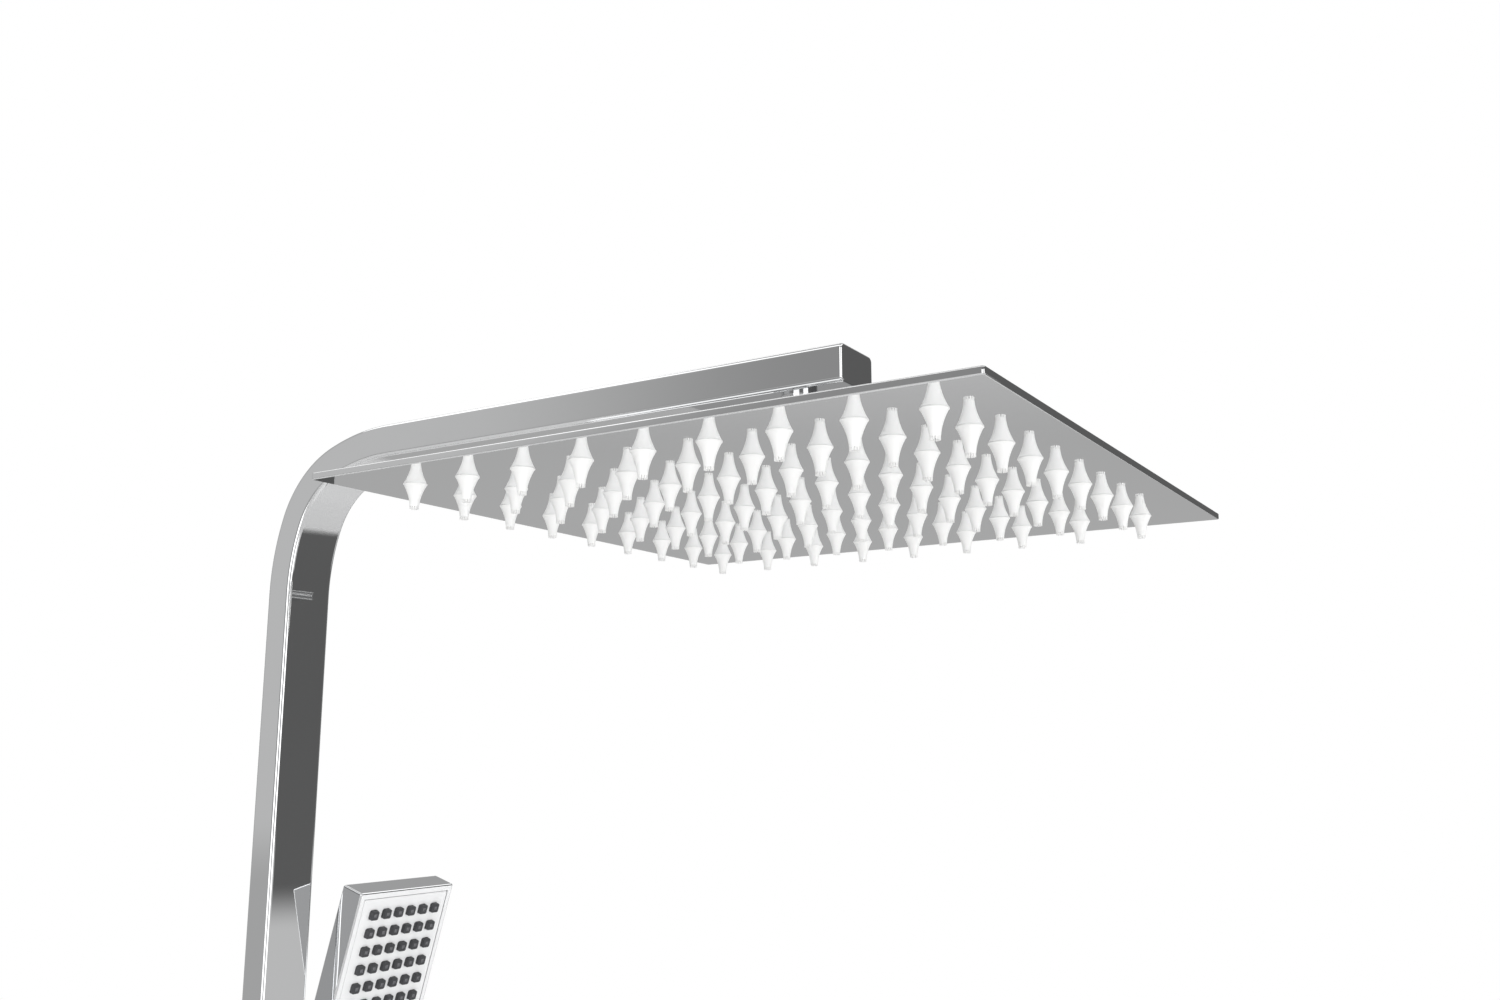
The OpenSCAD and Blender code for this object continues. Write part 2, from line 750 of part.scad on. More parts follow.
module valve_body() color("silver") {
  difference() {
    union() {
      translate([-bar_end, tube_y, 0]) side_plane() linear_extrude(bar_len)
        rounded(bar_s, bar_s, bar_r);
      each_supply() translate([0, bar_back - 1, 0]) rod_y(stub_r, stub_end - bar_back + 1);
      each_supply() translate([0, stub_end - stub_flange_t, 0])
        rod_y(stub_flange_r, stub_flange_t);
    }
    for (s = [-1, 1])
      translate([s > 0 ? cart_bore_in : -bar_end - 1, tube_y, 0])
        rod_x(cart_bore_r, bar_end - cart_bore_in + 1);
    translate([-cart_bore_in - 1, tube_y, 0]) rod_x(union_bore_r, 2 * cart_bore_in + 2);
    each_supply() translate([0, tube_y, 0]) rod_y(union_bore_r, bar_s);
    translate([0, tube_y, bar_half - spigot_foot_len]) cylinder(r = spigot_foot_r + slip, h = bar_s);
    translate([0, tube_y, 0]) cylinder(r = foot_bore_r, h = bar_half);
    translate([0, tube_y, -bar_half - 1]) cylinder(r = insert_r + slip, h = 13);
    translate([0, tube_y, -bar_half]) cylinder(r = foot_bore_r, h = bar_half);
    translate([0, tube_y, bar_half - 4]) rod_y(lock_r, bar_s);
  }
}

module supply_unions() color("silver") {
  each_supply() difference() {
    union() {
      translate([0, union_start, 0]) rod_y(union_r, union_shoulder - union_start);
      translate([0, union_shoulder - eps, 0]) rod_y(union_neck_r, eps - union_shoulder);
      translate([0, -eps, 0]) rod_y(thread_r, supply_thread + eps);
    }
    translate([0, union_start - 1, 0]) rod_y(union_bore_r, supply_thread - union_start + 2);
  }
}

module union_nuts() color("silver") {
  each_supply() difference() {
    translate([0, bar_back + gap, 0]) rotate([-90, 0, 0])
      cylinder(r = union_nut_r, h = union_nut_t, $fn = 6);
    translate([0, stub_end - stub_flange_t, 0]) rod_y(union_r + slip, union_nut_t);
    translate([0, bar_back - 1, 0]) rod_y(stub_r + slip, union_nut_t);
  }
}

module union_washers() color("dimgray") {
  each_supply() translate([0, stub_end, 0]) difference() {
    rod_y(stub_flange_r, washer_t);
    translate([0, -1, 0]) rod_y(union_bore_r, washer_t + 2);
  }
}

module supply_check_valves() color("white") {
  each_supply() translate([0, union_start + 2, 0]) difference() {
    rod_y(union_bore_r, 12);
    for (a = [0:90:270])
      rotate([0, a, 0]) translate([3.8, -1, 0]) rod_y(1.5, 14);
  }
}

module wall_flanges() color("silver") {
  each_supply() difference() {
    rotate([90, 0, 0]) linear_extrude(flange_t) rounded(flange_s, flange_s, 3);
    translate([0, 1, 0]) rotate([90, 0, 0]) linear_extrude(flange_t - 1)
      rounded(flange_s - 4, flange_s - 4, 2);
    translate([0, -flange_t - 1, 0]) rod_y(thread_r + 0.2, flange_t + 2);
  }
}

module thermostat_cartridge() color("white") {
  translate([-cart_out, tube_y, 0]) difference() {
    rod_x(cartridge_r, cart_out - cart_in);
    translate([-1, 0, 0]) rod_x(spindle_r + slip, cart_out - cart_in - 8);
    translate([cart_out - port_x - 4, 0, 0]) ring_cut(cartridge_r, cartridge_r - 4.4, 8);
  }
}

// groove round a rod along X: outer radius r, floor radius f, width w
module ring_cut(r, f, w) {
  difference() {
    rod_x(r + 1, w);
    translate([-1, 0, 0]) rod_x(f, w + 2);
  }
}

module cartridge_nut() {
  difference() {
    rod_x(cart_bore_r, nut_t);
    translate([-1, 0, 0]) rod_x(spindle_r + 2, nut_t + 2);
  }
}

module thermostat_nut() color("goldenrod") {
  translate([-bar_end, tube_y, 0]) cartridge_nut();
}

module temperature_spindle() color("goldenrod") {
  translate([-knob_seat, tube_y, 0]) difference() {
    rod_x(spindle_r, knob_seat - cart_in - 12);
    translate([-1, 0, 0]) rod_x(knob_screw_r, 12);
  }
}

module temperature_stop() color("tan") {
  translate([-knob_cup + 5, tube_y, 0]) difference() {
    union() {
      rod_x(stop_ring_r, knob_cup - bar_end - 5);
      translate([0, 0, -stop_ring_r - 0.6]) rod_x(1.2, 4);
    }
    translate([-1, 0, 0]) rod_x(stop_ring_r - 3, knob_cup);
  }
}

// square knob on the -X end, with its spindle socket; the cup faces the valve body
module knob_shell() {
  difference() {
    translate([-knob_out, tube_y, 0]) side_plane() linear_extrude(knob_len)
      rounded(knob_s, knob_s, knob_r);
    translate([-knob_cup, tube_y, 0]) rod_x(knob_cup_r, knob_len);
    translate([-knob_seat, tube_y, 0]) rod_x(spindle_r, knob_len);
    translate([-knob_out - 1, tube_y, 0]) rod_x(knob_screw_r, knob_len);
    translate([-knob_out - 1, tube_y, 0]) rod_x(knob_screw_head_r + 3, knob_out - knob_seat - 2);
  }
}

module knob_screw() {
  translate([-knob_seat - 3, tube_y, 0]) {
    difference() {
      translate([-2.5, 0, 0]) rod_x(knob_screw_head_r, 2.5);
      translate([-3.5, 0, 0]) rotate([0, 90, 0]) cylinder(r = 1.2, h = 2.4, $fn = 6);
    }
    translate([-eps, 0, 0]) rod_x(knob_screw_r, 12);
  }
}

module knob_cap() {
  translate([-knob_out, tube_y, 0]) rod_x(knob_screw_head_r + 3, 3);
}

module temperature_knob() color("silver") {
  difference() {
    knob_shell();
    translate([-button_x, tube_y, button_seat]) cylinder(r = button_r + slip, h = knob_s);
  }
}

module temperature_screw() color("gray") {
  knob_screw();
}

module temperature_cap() color("silver") {
  knob_cap();
}

module stop_button() color("gray") {
  low = button_seat + spring_h;
  translate([-button_x, tube_y, low]) difference() {
    cylinder(r = button_r, h = knob_s / 2 - low + button_travel);
    translate([0, 0, -1]) cylinder(r = button_r - 1, h = 2);
  }
}

module stop_spring() color("gray") {
  wire_r = spring_h / spring_turns / 2;
  translate([-button_x, tube_y, button_seat])
    for (k = [0:spring_turns - 1])
      translate([0, 0, wire_r * (2 * k + 1)])
        rotate_extrude() translate([button_r - 1.6, 0]) circle(wire_r + eps, $fn = 24);
}

module diverter_cartridge() color("white") {
  translate([cart_in, tube_y, 0]) difference() {
    rod_x(cartridge_r, cart_out - cart_in);
    translate([-1, 0, 0]) rod_x(disc_r + slip, 3 * disc_t + 1);
    rod_x(spindle_r + slip, cart_out);
    translate([port_x - cart_in - 4, 0, 0]) rotate([90, 0, 0])
      cylinder(r = 4, h = 3 * cartridge_r, center = true);
  }
}

module diverter_nut() color("goldenrod") {
  translate([bar_end - nut_t, tube_y, 0]) cartridge_nut();
}

module diverter_fixed_disc() color("white") {
  translate([cart_in, tube_y, 0]) disc_with_ports(disc_r);
}

module diverter_moving_disc() color("white") {
  translate([cart_in + disc_t + slip, tube_y, 0]) disc_with_ports(disc_r - 0.1);
}

module disc_with_ports(r) {
  difference() {
    rod_x(r, disc_t);
    for (a = [0, 120, 240])
      rotate([a, 0, 0]) translate([-1, 0, disc_port]) rod_x(2.5, disc_t + 2);
  }
}

module diverter_spindle() color("goldenrod") {
  low = cart_in + 2 * disc_t + slip;
  translate([low, tube_y, 0]) difference() {
    union() {
      rod_x(spindle_r, knob_seat - low);
      rod_x(disc_r - disc_t - 0.4, disc_t - 0.5);
    }
    translate([knob_seat - low - 11, 0, 0]) rod_x(knob_screw_r, 12);
  }
}

module flow_knob() color("silver") {
  mirror([1, 0, 0]) knob_shell();
}

module flow_screw() color("gray") {
  mirror([1, 0, 0]) knob_screw();
}

module flow_cap() color("silver") {
  mirror([1, 0, 0]) knob_cap();
}

module hose_outlet() color("silver") {
  translate([0, tube_y, -bar_half]) difference() {
    union() {
      translate([0, 0, -eps]) cylinder(r = insert_r, h = 12 + eps);
      translate([0, 0, -hose_thread]) cylinder(r = thread_r, h = hose_thread);
    }
    translate([0, 0, -hose_thread - 1]) cylinder(r = foot_bore_r, h = hose_thread + 14);
  }
}

module hose_check_valve() color("white") {
  translate([0, tube_y, -bar_half - 4]) difference() {
    cylinder(r = foot_bore_r, h = 10);
    for (a = [0:90:270])
      rotate(a) translate([2.5, 0, -1]) cylinder(r = 1, h = 12);
  }
}

riser_tube();
arm_end_cap();
arm_neck();
flow_regulator();
riser_foot();
riser_o_ring();
riser_collar();
riser_set_screw();
riser_stud();
bracket_post();
bracket_base();
bracket_cover();
bracket_set_screw();
swivel_nut();
ball_seat();
swivel_ball();
head_hub();
head_top_sheet();
head_spray_sheet();
rain_nozzles();
holder_slider();
holder_liner();
clamp_pad();
clamp_knob();
holder_cradle();
cradle_liner();
pivot_ring();
pivot_screw();
handset_body();
handset_spray_plate();
handset_nozzle_mat();
handset_inlet();
handset_regulator();
valve_body();
supply_unions();
union_nuts();
union_washers();
supply_check_valves();
wall_flanges();
thermostat_cartridge();
thermostat_nut();
temperature_spindle();
temperature_stop();
temperature_knob();
temperature_screw();
temperature_cap();
stop_button();
stop_spring();
diverter_cartridge();
diverter_nut();
diverter_fixed_disc();
diverter_moving_disc();
diverter_spindle();
flow_knob();
flow_screw();
flow_cap();
hose_outlet();
hose_check_valve();
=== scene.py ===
import json
import math

import bmesh
import bpy
from mathutils import Matrix, Vector

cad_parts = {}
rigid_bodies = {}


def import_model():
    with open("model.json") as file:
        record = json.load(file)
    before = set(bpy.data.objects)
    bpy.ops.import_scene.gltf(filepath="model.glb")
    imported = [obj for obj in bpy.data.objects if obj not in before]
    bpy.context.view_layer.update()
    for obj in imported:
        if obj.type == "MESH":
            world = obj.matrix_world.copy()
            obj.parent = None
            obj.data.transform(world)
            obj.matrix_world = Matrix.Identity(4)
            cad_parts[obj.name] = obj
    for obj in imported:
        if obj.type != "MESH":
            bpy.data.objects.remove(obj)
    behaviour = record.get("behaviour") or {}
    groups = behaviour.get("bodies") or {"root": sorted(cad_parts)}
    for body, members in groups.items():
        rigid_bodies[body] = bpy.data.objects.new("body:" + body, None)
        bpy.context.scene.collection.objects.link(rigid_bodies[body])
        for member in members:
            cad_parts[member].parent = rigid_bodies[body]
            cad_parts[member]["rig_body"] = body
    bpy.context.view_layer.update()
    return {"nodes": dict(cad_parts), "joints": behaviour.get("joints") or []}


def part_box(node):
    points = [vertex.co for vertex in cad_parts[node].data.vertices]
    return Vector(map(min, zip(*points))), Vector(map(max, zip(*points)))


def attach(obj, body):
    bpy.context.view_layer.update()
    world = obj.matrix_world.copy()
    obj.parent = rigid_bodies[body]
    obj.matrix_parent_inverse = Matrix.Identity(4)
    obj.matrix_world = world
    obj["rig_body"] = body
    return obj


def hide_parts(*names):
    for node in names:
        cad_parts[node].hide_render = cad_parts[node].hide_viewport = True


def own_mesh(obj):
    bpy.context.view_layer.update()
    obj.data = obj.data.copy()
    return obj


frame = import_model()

# Everything below is drawn in millimetres and brought to metres when a piece is made.
mm = 0.001


def joint(name):
    return next(j for j in frame["joints"] if j["name"] == name)


def span(node):  # lowest and highest corner of a node, in mm
    low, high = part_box(node)
    return low / mm, high / mm


def spanIn(node, place):  # the same, measured along the axes of a placed frame
    back = place.inverted()
    spots = [back @ (v.co / mm) for v in frame["nodes"][node].data.vertices]
    low = Vector([min(s[k] for s in spots) for k in range(3)])
    high = Vector([max(s[k] for s in spots) for k in range(3)])
    return low, high


# Camera and studio.

viewSet = {
    "lens": 32.2,      # mm
    "sensor": 36.0,    # mm
    "turn": -58.11,    # degrees round the object from the front
    "lift": -10.80,    # degrees, below the horizon and looking up
    "fromSprayFace": (-433.2, -247.1, -94.6),  # mm, from the middle of the rain head
    "clip": (0.01, 60.0),  # m, nearest and farthest that is drawn
}


def placeCamera():
    data = bpy.data.cameras.new("camera")
    data.lens = viewSet["lens"]
    data.sensor_width = viewSet["sensor"]
    camera = bpy.data.objects.new("camera", data)
    turn, lift = math.radians(viewSet["turn"]), math.radians(viewSet["lift"])
    back = Vector((math.sin(turn) * math.cos(lift), -math.cos(turn) * math.cos(lift), math.sin(lift)))
    low, high = span("head_spray_sheet")
    target = Vector(((low.x + high.x) / 2, (low.y + high.y) / 2, low.z))
    camera.location = (target + Vector(viewSet["fromSprayFace"])) * mm
    camera.rotation_mode = "QUATERNION"
    camera.rotation_quaternion = (-back).to_track_quat("-Z", "Y")
    data.clip_start, data.clip_end = viewSet["clip"]
    bpy.context.scene.collection.objects.link(camera)
    bpy.context.scene.camera = camera


placeCamera()
bpy.context.scene.view_settings.view_transform = "Standard"
print("camera placed")


class Wire:
    # a socket in a node tree, so that shader maths reads as plain expressions
    def __init__(self, tree, socket=None):
        self.tree = tree
        self.socket = socket

    def node(self, kind, settings=None, inputs=None, out=0):
        made = self.tree.nodes.new(kind)
        for name, value in (settings or {}).items():
            if name == "stops":
                fillRamp(made.color_ramp, value)
            else:
                setattr(made, name, value)
        for name, value in (inputs or {}).items():
            feed(self.tree, made.inputs[name], value)
        return Wire(self.tree, made.outputs[out])

    def maths(self, operation, *values):
        return self.node("ShaderNodeMath", {"operation": operation}, dict(enumerate(values)))

    def eased(self, start, end, low=0.0, high=1.0):
        # goes smoothly from low to high while this goes from start to end
        return self.node("ShaderNodeMapRange", {"interpolation_type": "SMOOTHSTEP"},
                         {0: self, 1: start, 2: end, 3: low, 4: high})

    def __add__(self, other):
        return self.maths("ADD", self, other)

    def __sub__(self, other):
        return self.maths("SUBTRACT", self, other)

    def __rsub__(self, other):
        return self.maths("SUBTRACT", other, self)

    def __mul__(self, other):
        return self.maths("MULTIPLY", self, other)

    def __truediv__(self, other):
        return self.maths("DIVIDE", self, other)

    __radd__ = __add__
    __rmul__ = __mul__


def feed(tree, socket, value):
    if isinstance(value, Wire):
        tree.links.new(value.socket, socket)
    elif hasattr(socket.default_value, "__len__") and len(socket.default_value) == 4:
        socket.default_value = tuple(value)[:3] + (1.0,)
    else:
        socket.default_value = value


def fillRamp(ramp, stops):
    while len(ramp.elements) < len(stops):
        ramp.elements.new(0.5)
    for element, (spot, grey) in zip(ramp.elements, stops):
        element.position = spot
        element.color = (grey, grey, grey, 1.0) if isinstance(grey, (int, float)) else (*grey, 1.0)


studioSet = {
    # brightness seen round the horizon: degrees anticlockwise from +X, brightness
    "round": [(0, 0.25), (35, 0.18), (70, 0.20), (108, 0.52), (133, 0.565),
              (152, 0.30), (166, 0.25), (186, 0.24), (228, 0.23), (245, 0.20),
              (272, 0.135), (300, 0.118), (318, 0.122), (338, 0.12), (352, 0.25)],
    "backdrop": 1.0,      # brightness of the plain white that the camera itself sees
    "below": 0.43,        # brightness under the horizon, behind the object
    "belowFront": 0.58,   # and in front of it, to the right
    "belowTurns": (0.55, 0.80),   # turns round the horizon where the one goes over into the other
    "above": 0.50,        # brightness overhead
    "behind": 0.38,       # brightness of the upper wall behind the object
    "behindFrom": (0.14, 0.28),   # height of the ray where it begins
    "behindRound": (0.125, 0.125),  # its middle and half width, in turns round the horizon
    "horizon": (-0.085, -0.040),  # height of the ray where the floor ends and the walls begin
    "ceiling": (0.42, 0.80),      # height of the ray where the walls end and the ceiling begins
    "boxes": [(172, 207), (233, 264)],  # degrees, the two tall light boxes and the gap between them
    "boxLight": 1.9,
    "boxHeight": 0.36,    # height of the ray where the boxes end, up and down
    "strips": (0.72, 0.10),        # middle and half width of the strip light overhead
    "lowStrip": (-0.76, 0.16),     # the same for the one underneath
    "lowStripRound": (0.36, 0.2),  # and its reach round the horizon, in turns
    "stripLight": 1.5,
    "floorDrop": -1.0,    # m, the floor under the supply line
    "floorReach": 9.0,    # m
    "floorFade": 0.45,    # share of the reach that is not faded
    "floorTint": (0.88, 0.88, 0.88),
    "panelSize": 1.6,     # m, soft panels that light the pale parts and stay out of the mirrors
    "panelAim": (0, -0.25, 0.85),  # m
    "panels": [((-0.9, -1.5, 0.1), 12.0), ((-1.6, -0.2, 1.5), 9.0), ((0.9, -1.6, 0.9), 7.0)],  # place, watts
}
cardSet = {
    "place": (0.425, -0.571),  # m, the card's middle
    "half": 0.15,    # m, half its width
    "low": 0.829,    # m, height of its lower edge
    "fade": 0.043,   # m over which that edge fades out
    "high": 1.9,
    "light": 0.125,
}


def lightWorld():
    world = bpy.data.worlds.new("studio")
    bpy.context.scene.world = world
    world.use_nodes = True
    tree = world.node_tree
    tree.nodes.clear()
    root = Wire(tree)
    ray = root.node("ShaderNodeTexCoord", out=0)
    parts = root.node("ShaderNodeSeparateXYZ", inputs={0: ray}).socket.node
    east, north, up = (Wire(tree, parts.outputs[k]) for k in range(3))
    share = root.maths("FRACT", root.maths("ARCTAN2", north, east) / (2 * math.pi) + 1.0)
    stops = [(degrees / 360, light) for degrees, light in studioSet["round"]]
    walls = root.node("ShaderNodeValToRGB", {"stops": stops}, {0: share})
    walls.socket.node.color_ramp.interpolation = "EASE"
    low = up.eased(*studioSet["horizon"])
    high = up.eased(*studioSet["ceiling"])
    upper = up.eased(*studioSet["behindFrom"]) * root.maths("COMPARE", share, *studioSet["behindRound"])
    walls = walls * (1 - upper) + upper * studioSet["behind"]
    ground = share.eased(*studioSet["belowTurns"], studioSet["below"], studioSet["belowFront"])
    seen = (walls * low + (1 - low) * ground) * (1 - high) + high * studioSet["above"]
    tall = root.maths("COMPARE", up, 0.0, studioSet["boxHeight"])
    for start, end in studioSet["boxes"]:
        lit = root.maths("COMPARE", share, (start + end) / 720, (end - start) / 720) * tall
        seen = seen * (1 - lit) + lit * studioSet["boxLight"]
    under = root.maths("COMPARE", up, *studioSet["lowStrip"])
    strip = root.maths("COMPARE", up, *studioSet["strips"])
    strip = strip + under * root.maths("COMPARE", share, *studioSet["lowStripRound"])
    seen = seen * (1 - strip) + strip * studioSet["stripLight"]
    toCamera = root.node("ShaderNodeLightPath", out=0)
    strength = seen * (1 - toCamera) + toCamera * studioSet["backdrop"]
    shader = root.node("ShaderNodeBackground", inputs={"Color": (1, 1, 1), "Strength": strength})
    end = tree.nodes.new("ShaderNodeOutputWorld")
    tree.links.new(shader.socket, end.inputs[0])


def hangPanels():
    for k, (place, watts) in enumerate(studioSet["panels"]):
        data = bpy.data.lights.new("panel" + str(k), "AREA")
        data.size, data.energy = studioSet["panelSize"], watts
        panel = bpy.data.objects.new("panel" + str(k), data)
        panel.location = place
        aim = Vector(studioSet["panelAim"]) - Vector(place)
        panel.rotation_euler = aim.to_track_quat("-Z", "Y").to_euler()
        panel.visible_glossy = False
        panel.visible_camera = False
        bpy.context.scene.collection.objects.link(panel)


def stageObject(name, bm):
    mesh = bpy.data.meshes.new(name)
    bm.to_mesh(mesh)
    bm.free()
    made = bpy.data.objects.new(name, mesh)
    bpy.context.scene.collection.objects.link(made)
    return made


def hangCard():
    # a dark card on the object's right-hand side, seen only in the mirrors
    middle = Vector((*cardSet["place"], 0))
    along = Vector((-middle.y, middle.x, 0)).normalized() * cardSet["half"]
    low, high = cardSet["low"], cardSet["high"]
    bm = bmesh.new()
    corners = [(middle - along, low), (middle + along, low), (middle + along, high), (middle - along, high)]
    bm.faces.new([bm.verts.new((spot.x, spot.y, z)) for spot, z in corners])
    piece = stageObject("darkCard", bm)
    material, paint, shader = newFinish("darkCard", **{"Specular IOR Level": 0.0, "Emission Strength": 1.0})
    spot = paint.node("ShaderNodeTexCoord", out=3)
    height = paint.node("ShaderNodeSeparateXYZ", inputs={0: spot}, out=2)
    cloud = paint.node("ShaderNodeTexNoise", inputs={"Vector": spot, "Scale": 2.0})
    light, dark = (cardSet["light"],) * 3, (cardSet["light"] * 0.8,) * 3
    wire(paint, shader, Base_Color=tinted(paint, cloud, (0.0, 0.0, 0.0), (0.01, 0.01, 0.01)),
         Emission_Color=tinted(paint, cloud, light, dark), Alpha=height.eased(low, low + cardSet["fade"]))
    piece.data.materials.append(material)
    piece.visible_camera = False
    piece.visible_diffuse = False
    piece.visible_shadow = False


def makeFloor():
    bm = bmesh.new()
    reach = studioSet["floorReach"]
    bmesh.ops.create_circle(bm, cap_ends=True, segments=96, radius=reach)
    floor = stageObject("floor", bm)
    floor.location.z = studioSet["floorDrop"]
    material, paint, shader = newFinish("palePaper", **{"Base Color": studioSet["floorTint"]})
    spot = paint.node("ShaderNodeTexCoord", out=3)
    away = paint.node("ShaderNodeVectorMath", {"operation": "LENGTH"}, {0: spot}, out=1)
    grain = paint.node("ShaderNodeTexNoise", inputs={"Vector": spot, "Scale": 3.0, "Detail": 4.0})
    wire(paint, shader, Roughness=grain * 0.1 + 0.85, Alpha=away.eased(reach, reach * studioSet["floorFade"]))
    floor.data.materials.append(material)


# Finishes.

def newFinish(name, **fixed):  # a material with a Principled shader whose fixed values are given
    material = bpy.data.materials.new(name)
    material.use_nodes = True
    tree = material.node_tree
    shader = tree.nodes["Principled BSDF"]
    for socket, value in fixed.items():
        feed(tree, shader.inputs[socket], value)
    return material, Wire(tree), shader


def wire(paint, shader, **changing):  # what changes over the surface
    for name, value in changing.items():
        feed(paint.tree, shader.inputs[name.replace("_", " ")], value)


def tinted(paint, amount, first, second):  # a colour between two, by amount
    return paint.node("ShaderNodeMix", {"data_type": "RGBA"}, {0: amount, 6: first, 7: second}, out=2)


def speckle(paint, scale, detail=3.0, stretch=(1, 1, 1), rough=0.5):
    spot = paint.node("ShaderNodeTexCoord", out=3)
    drawn = paint.node("ShaderNodeMapping", inputs={0: spot, 3: stretch})
    return paint.node("ShaderNodeTexNoise", inputs={"Vector": drawn, "Scale": scale, "Detail": detail,
                                                    "Roughness": rough})


def bumped(paint, height, strength, distance):
    return paint.node("ShaderNodeBump", inputs={"Strength": strength, "Distance": distance,
                                                "Height": height})


lightWorld()
hangPanels()
hangCard()
makeFloor()
print("studio lit")

mirrorSet = {
    "steel": (0.810, 0.815, 0.820),     # reflected tint of polished stainless steel
    "steelHaze": (0.775, 0.780, 0.787),
    "plated": (0.820, 0.827, 0.838),    # reflected tint of bright plating
    "platedHaze": (0.785, 0.792, 0.803),
    "gloss": 0.018,                     # roughness where it is cleanest
    "film": 0.035,                      # extra roughness where water has dried
    "filmEdge": (0.42, 0.72),           # noise levels where the film of water begins and is full
    "dropEdge": (0.60, 0.74),           # the same for dried drops
}


def mirrorMetal(name, clean, hazy, waviness):
    material, paint, shader = newFinish(name, Metallic=1.0)
    cloud = speckle(paint, 9.0, 4.0)
    drops = speckle(paint, 160.0, 2.0, rough=0.35)
    film = cloud.eased(*mirrorSet["filmEdge"])
    dried = drops.eased(*mirrorSet["dropEdge"])
    hair = speckle(paint, 900.0, 2.0, (1, 1, 0.02))
    haze = film * 0.6 + film * dried * 0.4
    wire(paint, shader, Base_Color=tinted(paint, haze, clean, hazy),
         Roughness=haze * mirrorSet["film"] + hair * 0.012 + mirrorSet["gloss"],
         Normal=bumped(paint, speckle(paint, 28.0, 1.0), waviness, 0.0004))
    return material


def satinMetal(name, light, dark, roughness, stretch):
    # turned or sawn metal: fine lines along one direction
    material, paint, shader = newFinish(name, Metallic=1.0)
    lines = speckle(paint, 700.0, 3.0, stretch)
    stain = speckle(paint, 45.0, 3.0)
    wire(paint, shader, Base_Color=tinted(paint, stain, light, dark),
         Roughness=lines * 0.18 + stain * 0.08 + roughness,
         Normal=bumped(paint, lines, 0.25, 0.0001))
    return material


def mouldedPlastic(name, light, dark, roughness, grain, depth, **fixed):
    material, paint, shader = newFinish(name, **fixed)
    pores = speckle(paint, grain, 2.0)
    cloud = speckle(paint, 30.0, 3.0)
    wire(paint, shader, Base_Color=tinted(paint, cloud, light, dark),
         Roughness=pores * 0.12 + cloud * 0.06 + roughness,
         Normal=bumped(paint, pores, depth, 0.00012))
    return material


def softSilicone(name, light, dark, glow):
    # a dull skin with a trace of dust; glow is how much light goes through
    material, paint, shader = newFinish(
        name, **{"Subsurface Weight": glow, "Subsurface Scale": 0.002, "IOR": 1.41,
                 "Subsurface Radius": (1.0, 0.95, 0.9)})
    dust = speckle(paint, 420.0, 3.0)
    cloud = speckle(paint, 60.0, 2.0)
    wire(paint, shader, Base_Color=tinted(paint, cloud * 0.7 + dust * 0.3, light, dark),
         Roughness=dust * 0.2 + 0.38, Normal=bumped(paint, dust, 0.12, 0.0001))
    return material


finishes = {
    "polished_steel": mirrorMetal("polishedSteel", mirrorSet["steel"], mirrorSet["steelHaze"], 0.010),
    "chrome": mirrorMetal("brightPlating", mirrorSet["plated"], mirrorSet["platedHaze"], 0.010),
    "brass": satinMetal("turnedBrass", (0.70, 0.52, 0.25), (0.58, 0.41, 0.18), 0.18, (1, 1, 0.05)),
    "silicone_white": softSilicone("whiteSilicone", (0.93, 0.93, 0.92), (0.89, 0.89, 0.885), 0.10),
    "silicone_grey": softSilicone("greySilicone", (0.055, 0.056, 0.060), (0.040, 0.041, 0.045), 0.0),
    "spray_plate": mouldedPlastic("paleSprayPlate", (0.86, 0.865, 0.87), (0.82, 0.825, 0.83), 0.22, 900.0,
                                  0.06, **{"Coat Weight": 0.3, "Coat Roughness": 0.08}),
    "liner": mouldedPlastic("blackLiner", (0.035, 0.035, 0.038), (0.022, 0.022, 0.024), 0.48, 1400.0, 0.3),
    "inner_plastic": mouldedPlastic("innerPlastic", (0.80, 0.78, 0.72), (0.72, 0.70, 0.64), 0.40, 900.0, 0.2),
    "seal_rubber": mouldedPlastic("sealRubber", (0.022, 0.022, 0.022), (0.013, 0.013, 0.013), 0.62,
                                  1500.0, 0.3),
    "ceramic_disc": mouldedPlastic("lappedCeramic", (0.86, 0.86, 0.84), (0.80, 0.80, 0.78), 0.10,
                                   1800.0, 0.03),
    "fixing_steel": satinMetal("turnedSteel", (0.50, 0.50, 0.51), (0.38, 0.38, 0.39), 0.26, (1, 0.05, 1)),
}
# a lighter grey for the jets' dimples: a painted highlight, not a colour of the silicone
jetDimpleHighlight = mouldedPlastic("jetDimpleHighlight", (0.20, 0.20, 0.21), (0.15, 0.15, 0.16), 0.35, 900.0, 0.1)
print("finishes mixed:", len(finishes) + 1)


# Drawing tools. All their sizes are in mm.

def ringOf(width, depth, corner, steps=6, across=(0, 0)):
    # a rounded rectangle, anticlockwise; across adds points on the width and depth sides
    spots = []
    for quarter in range(4):
        middle = Vector((width / 2 - corner, depth / 2 - corner))
        middle.x *= 1 if quarter in (0, 3) else -1
        middle.y *= 1 if quarter in (0, 1) else -1
        arc = []
        for k in range(steps + 1):
            angle = (quarter + k / steps) * math.pi / 2
            arc.append(middle + corner * Vector((math.cos(angle), math.sin(angle))))
        if spots:
            fillIn(spots, arc[0], across[(quarter + 1) % 2])
        spots += arc
    fillIn(spots, spots[0], across[1])
    return spots


def fillIn(spots, target, count):
    start = spots[-1].copy()
    for k in range(count):
        spots.append(start.lerp(target, (k + 1) / (count + 1)))


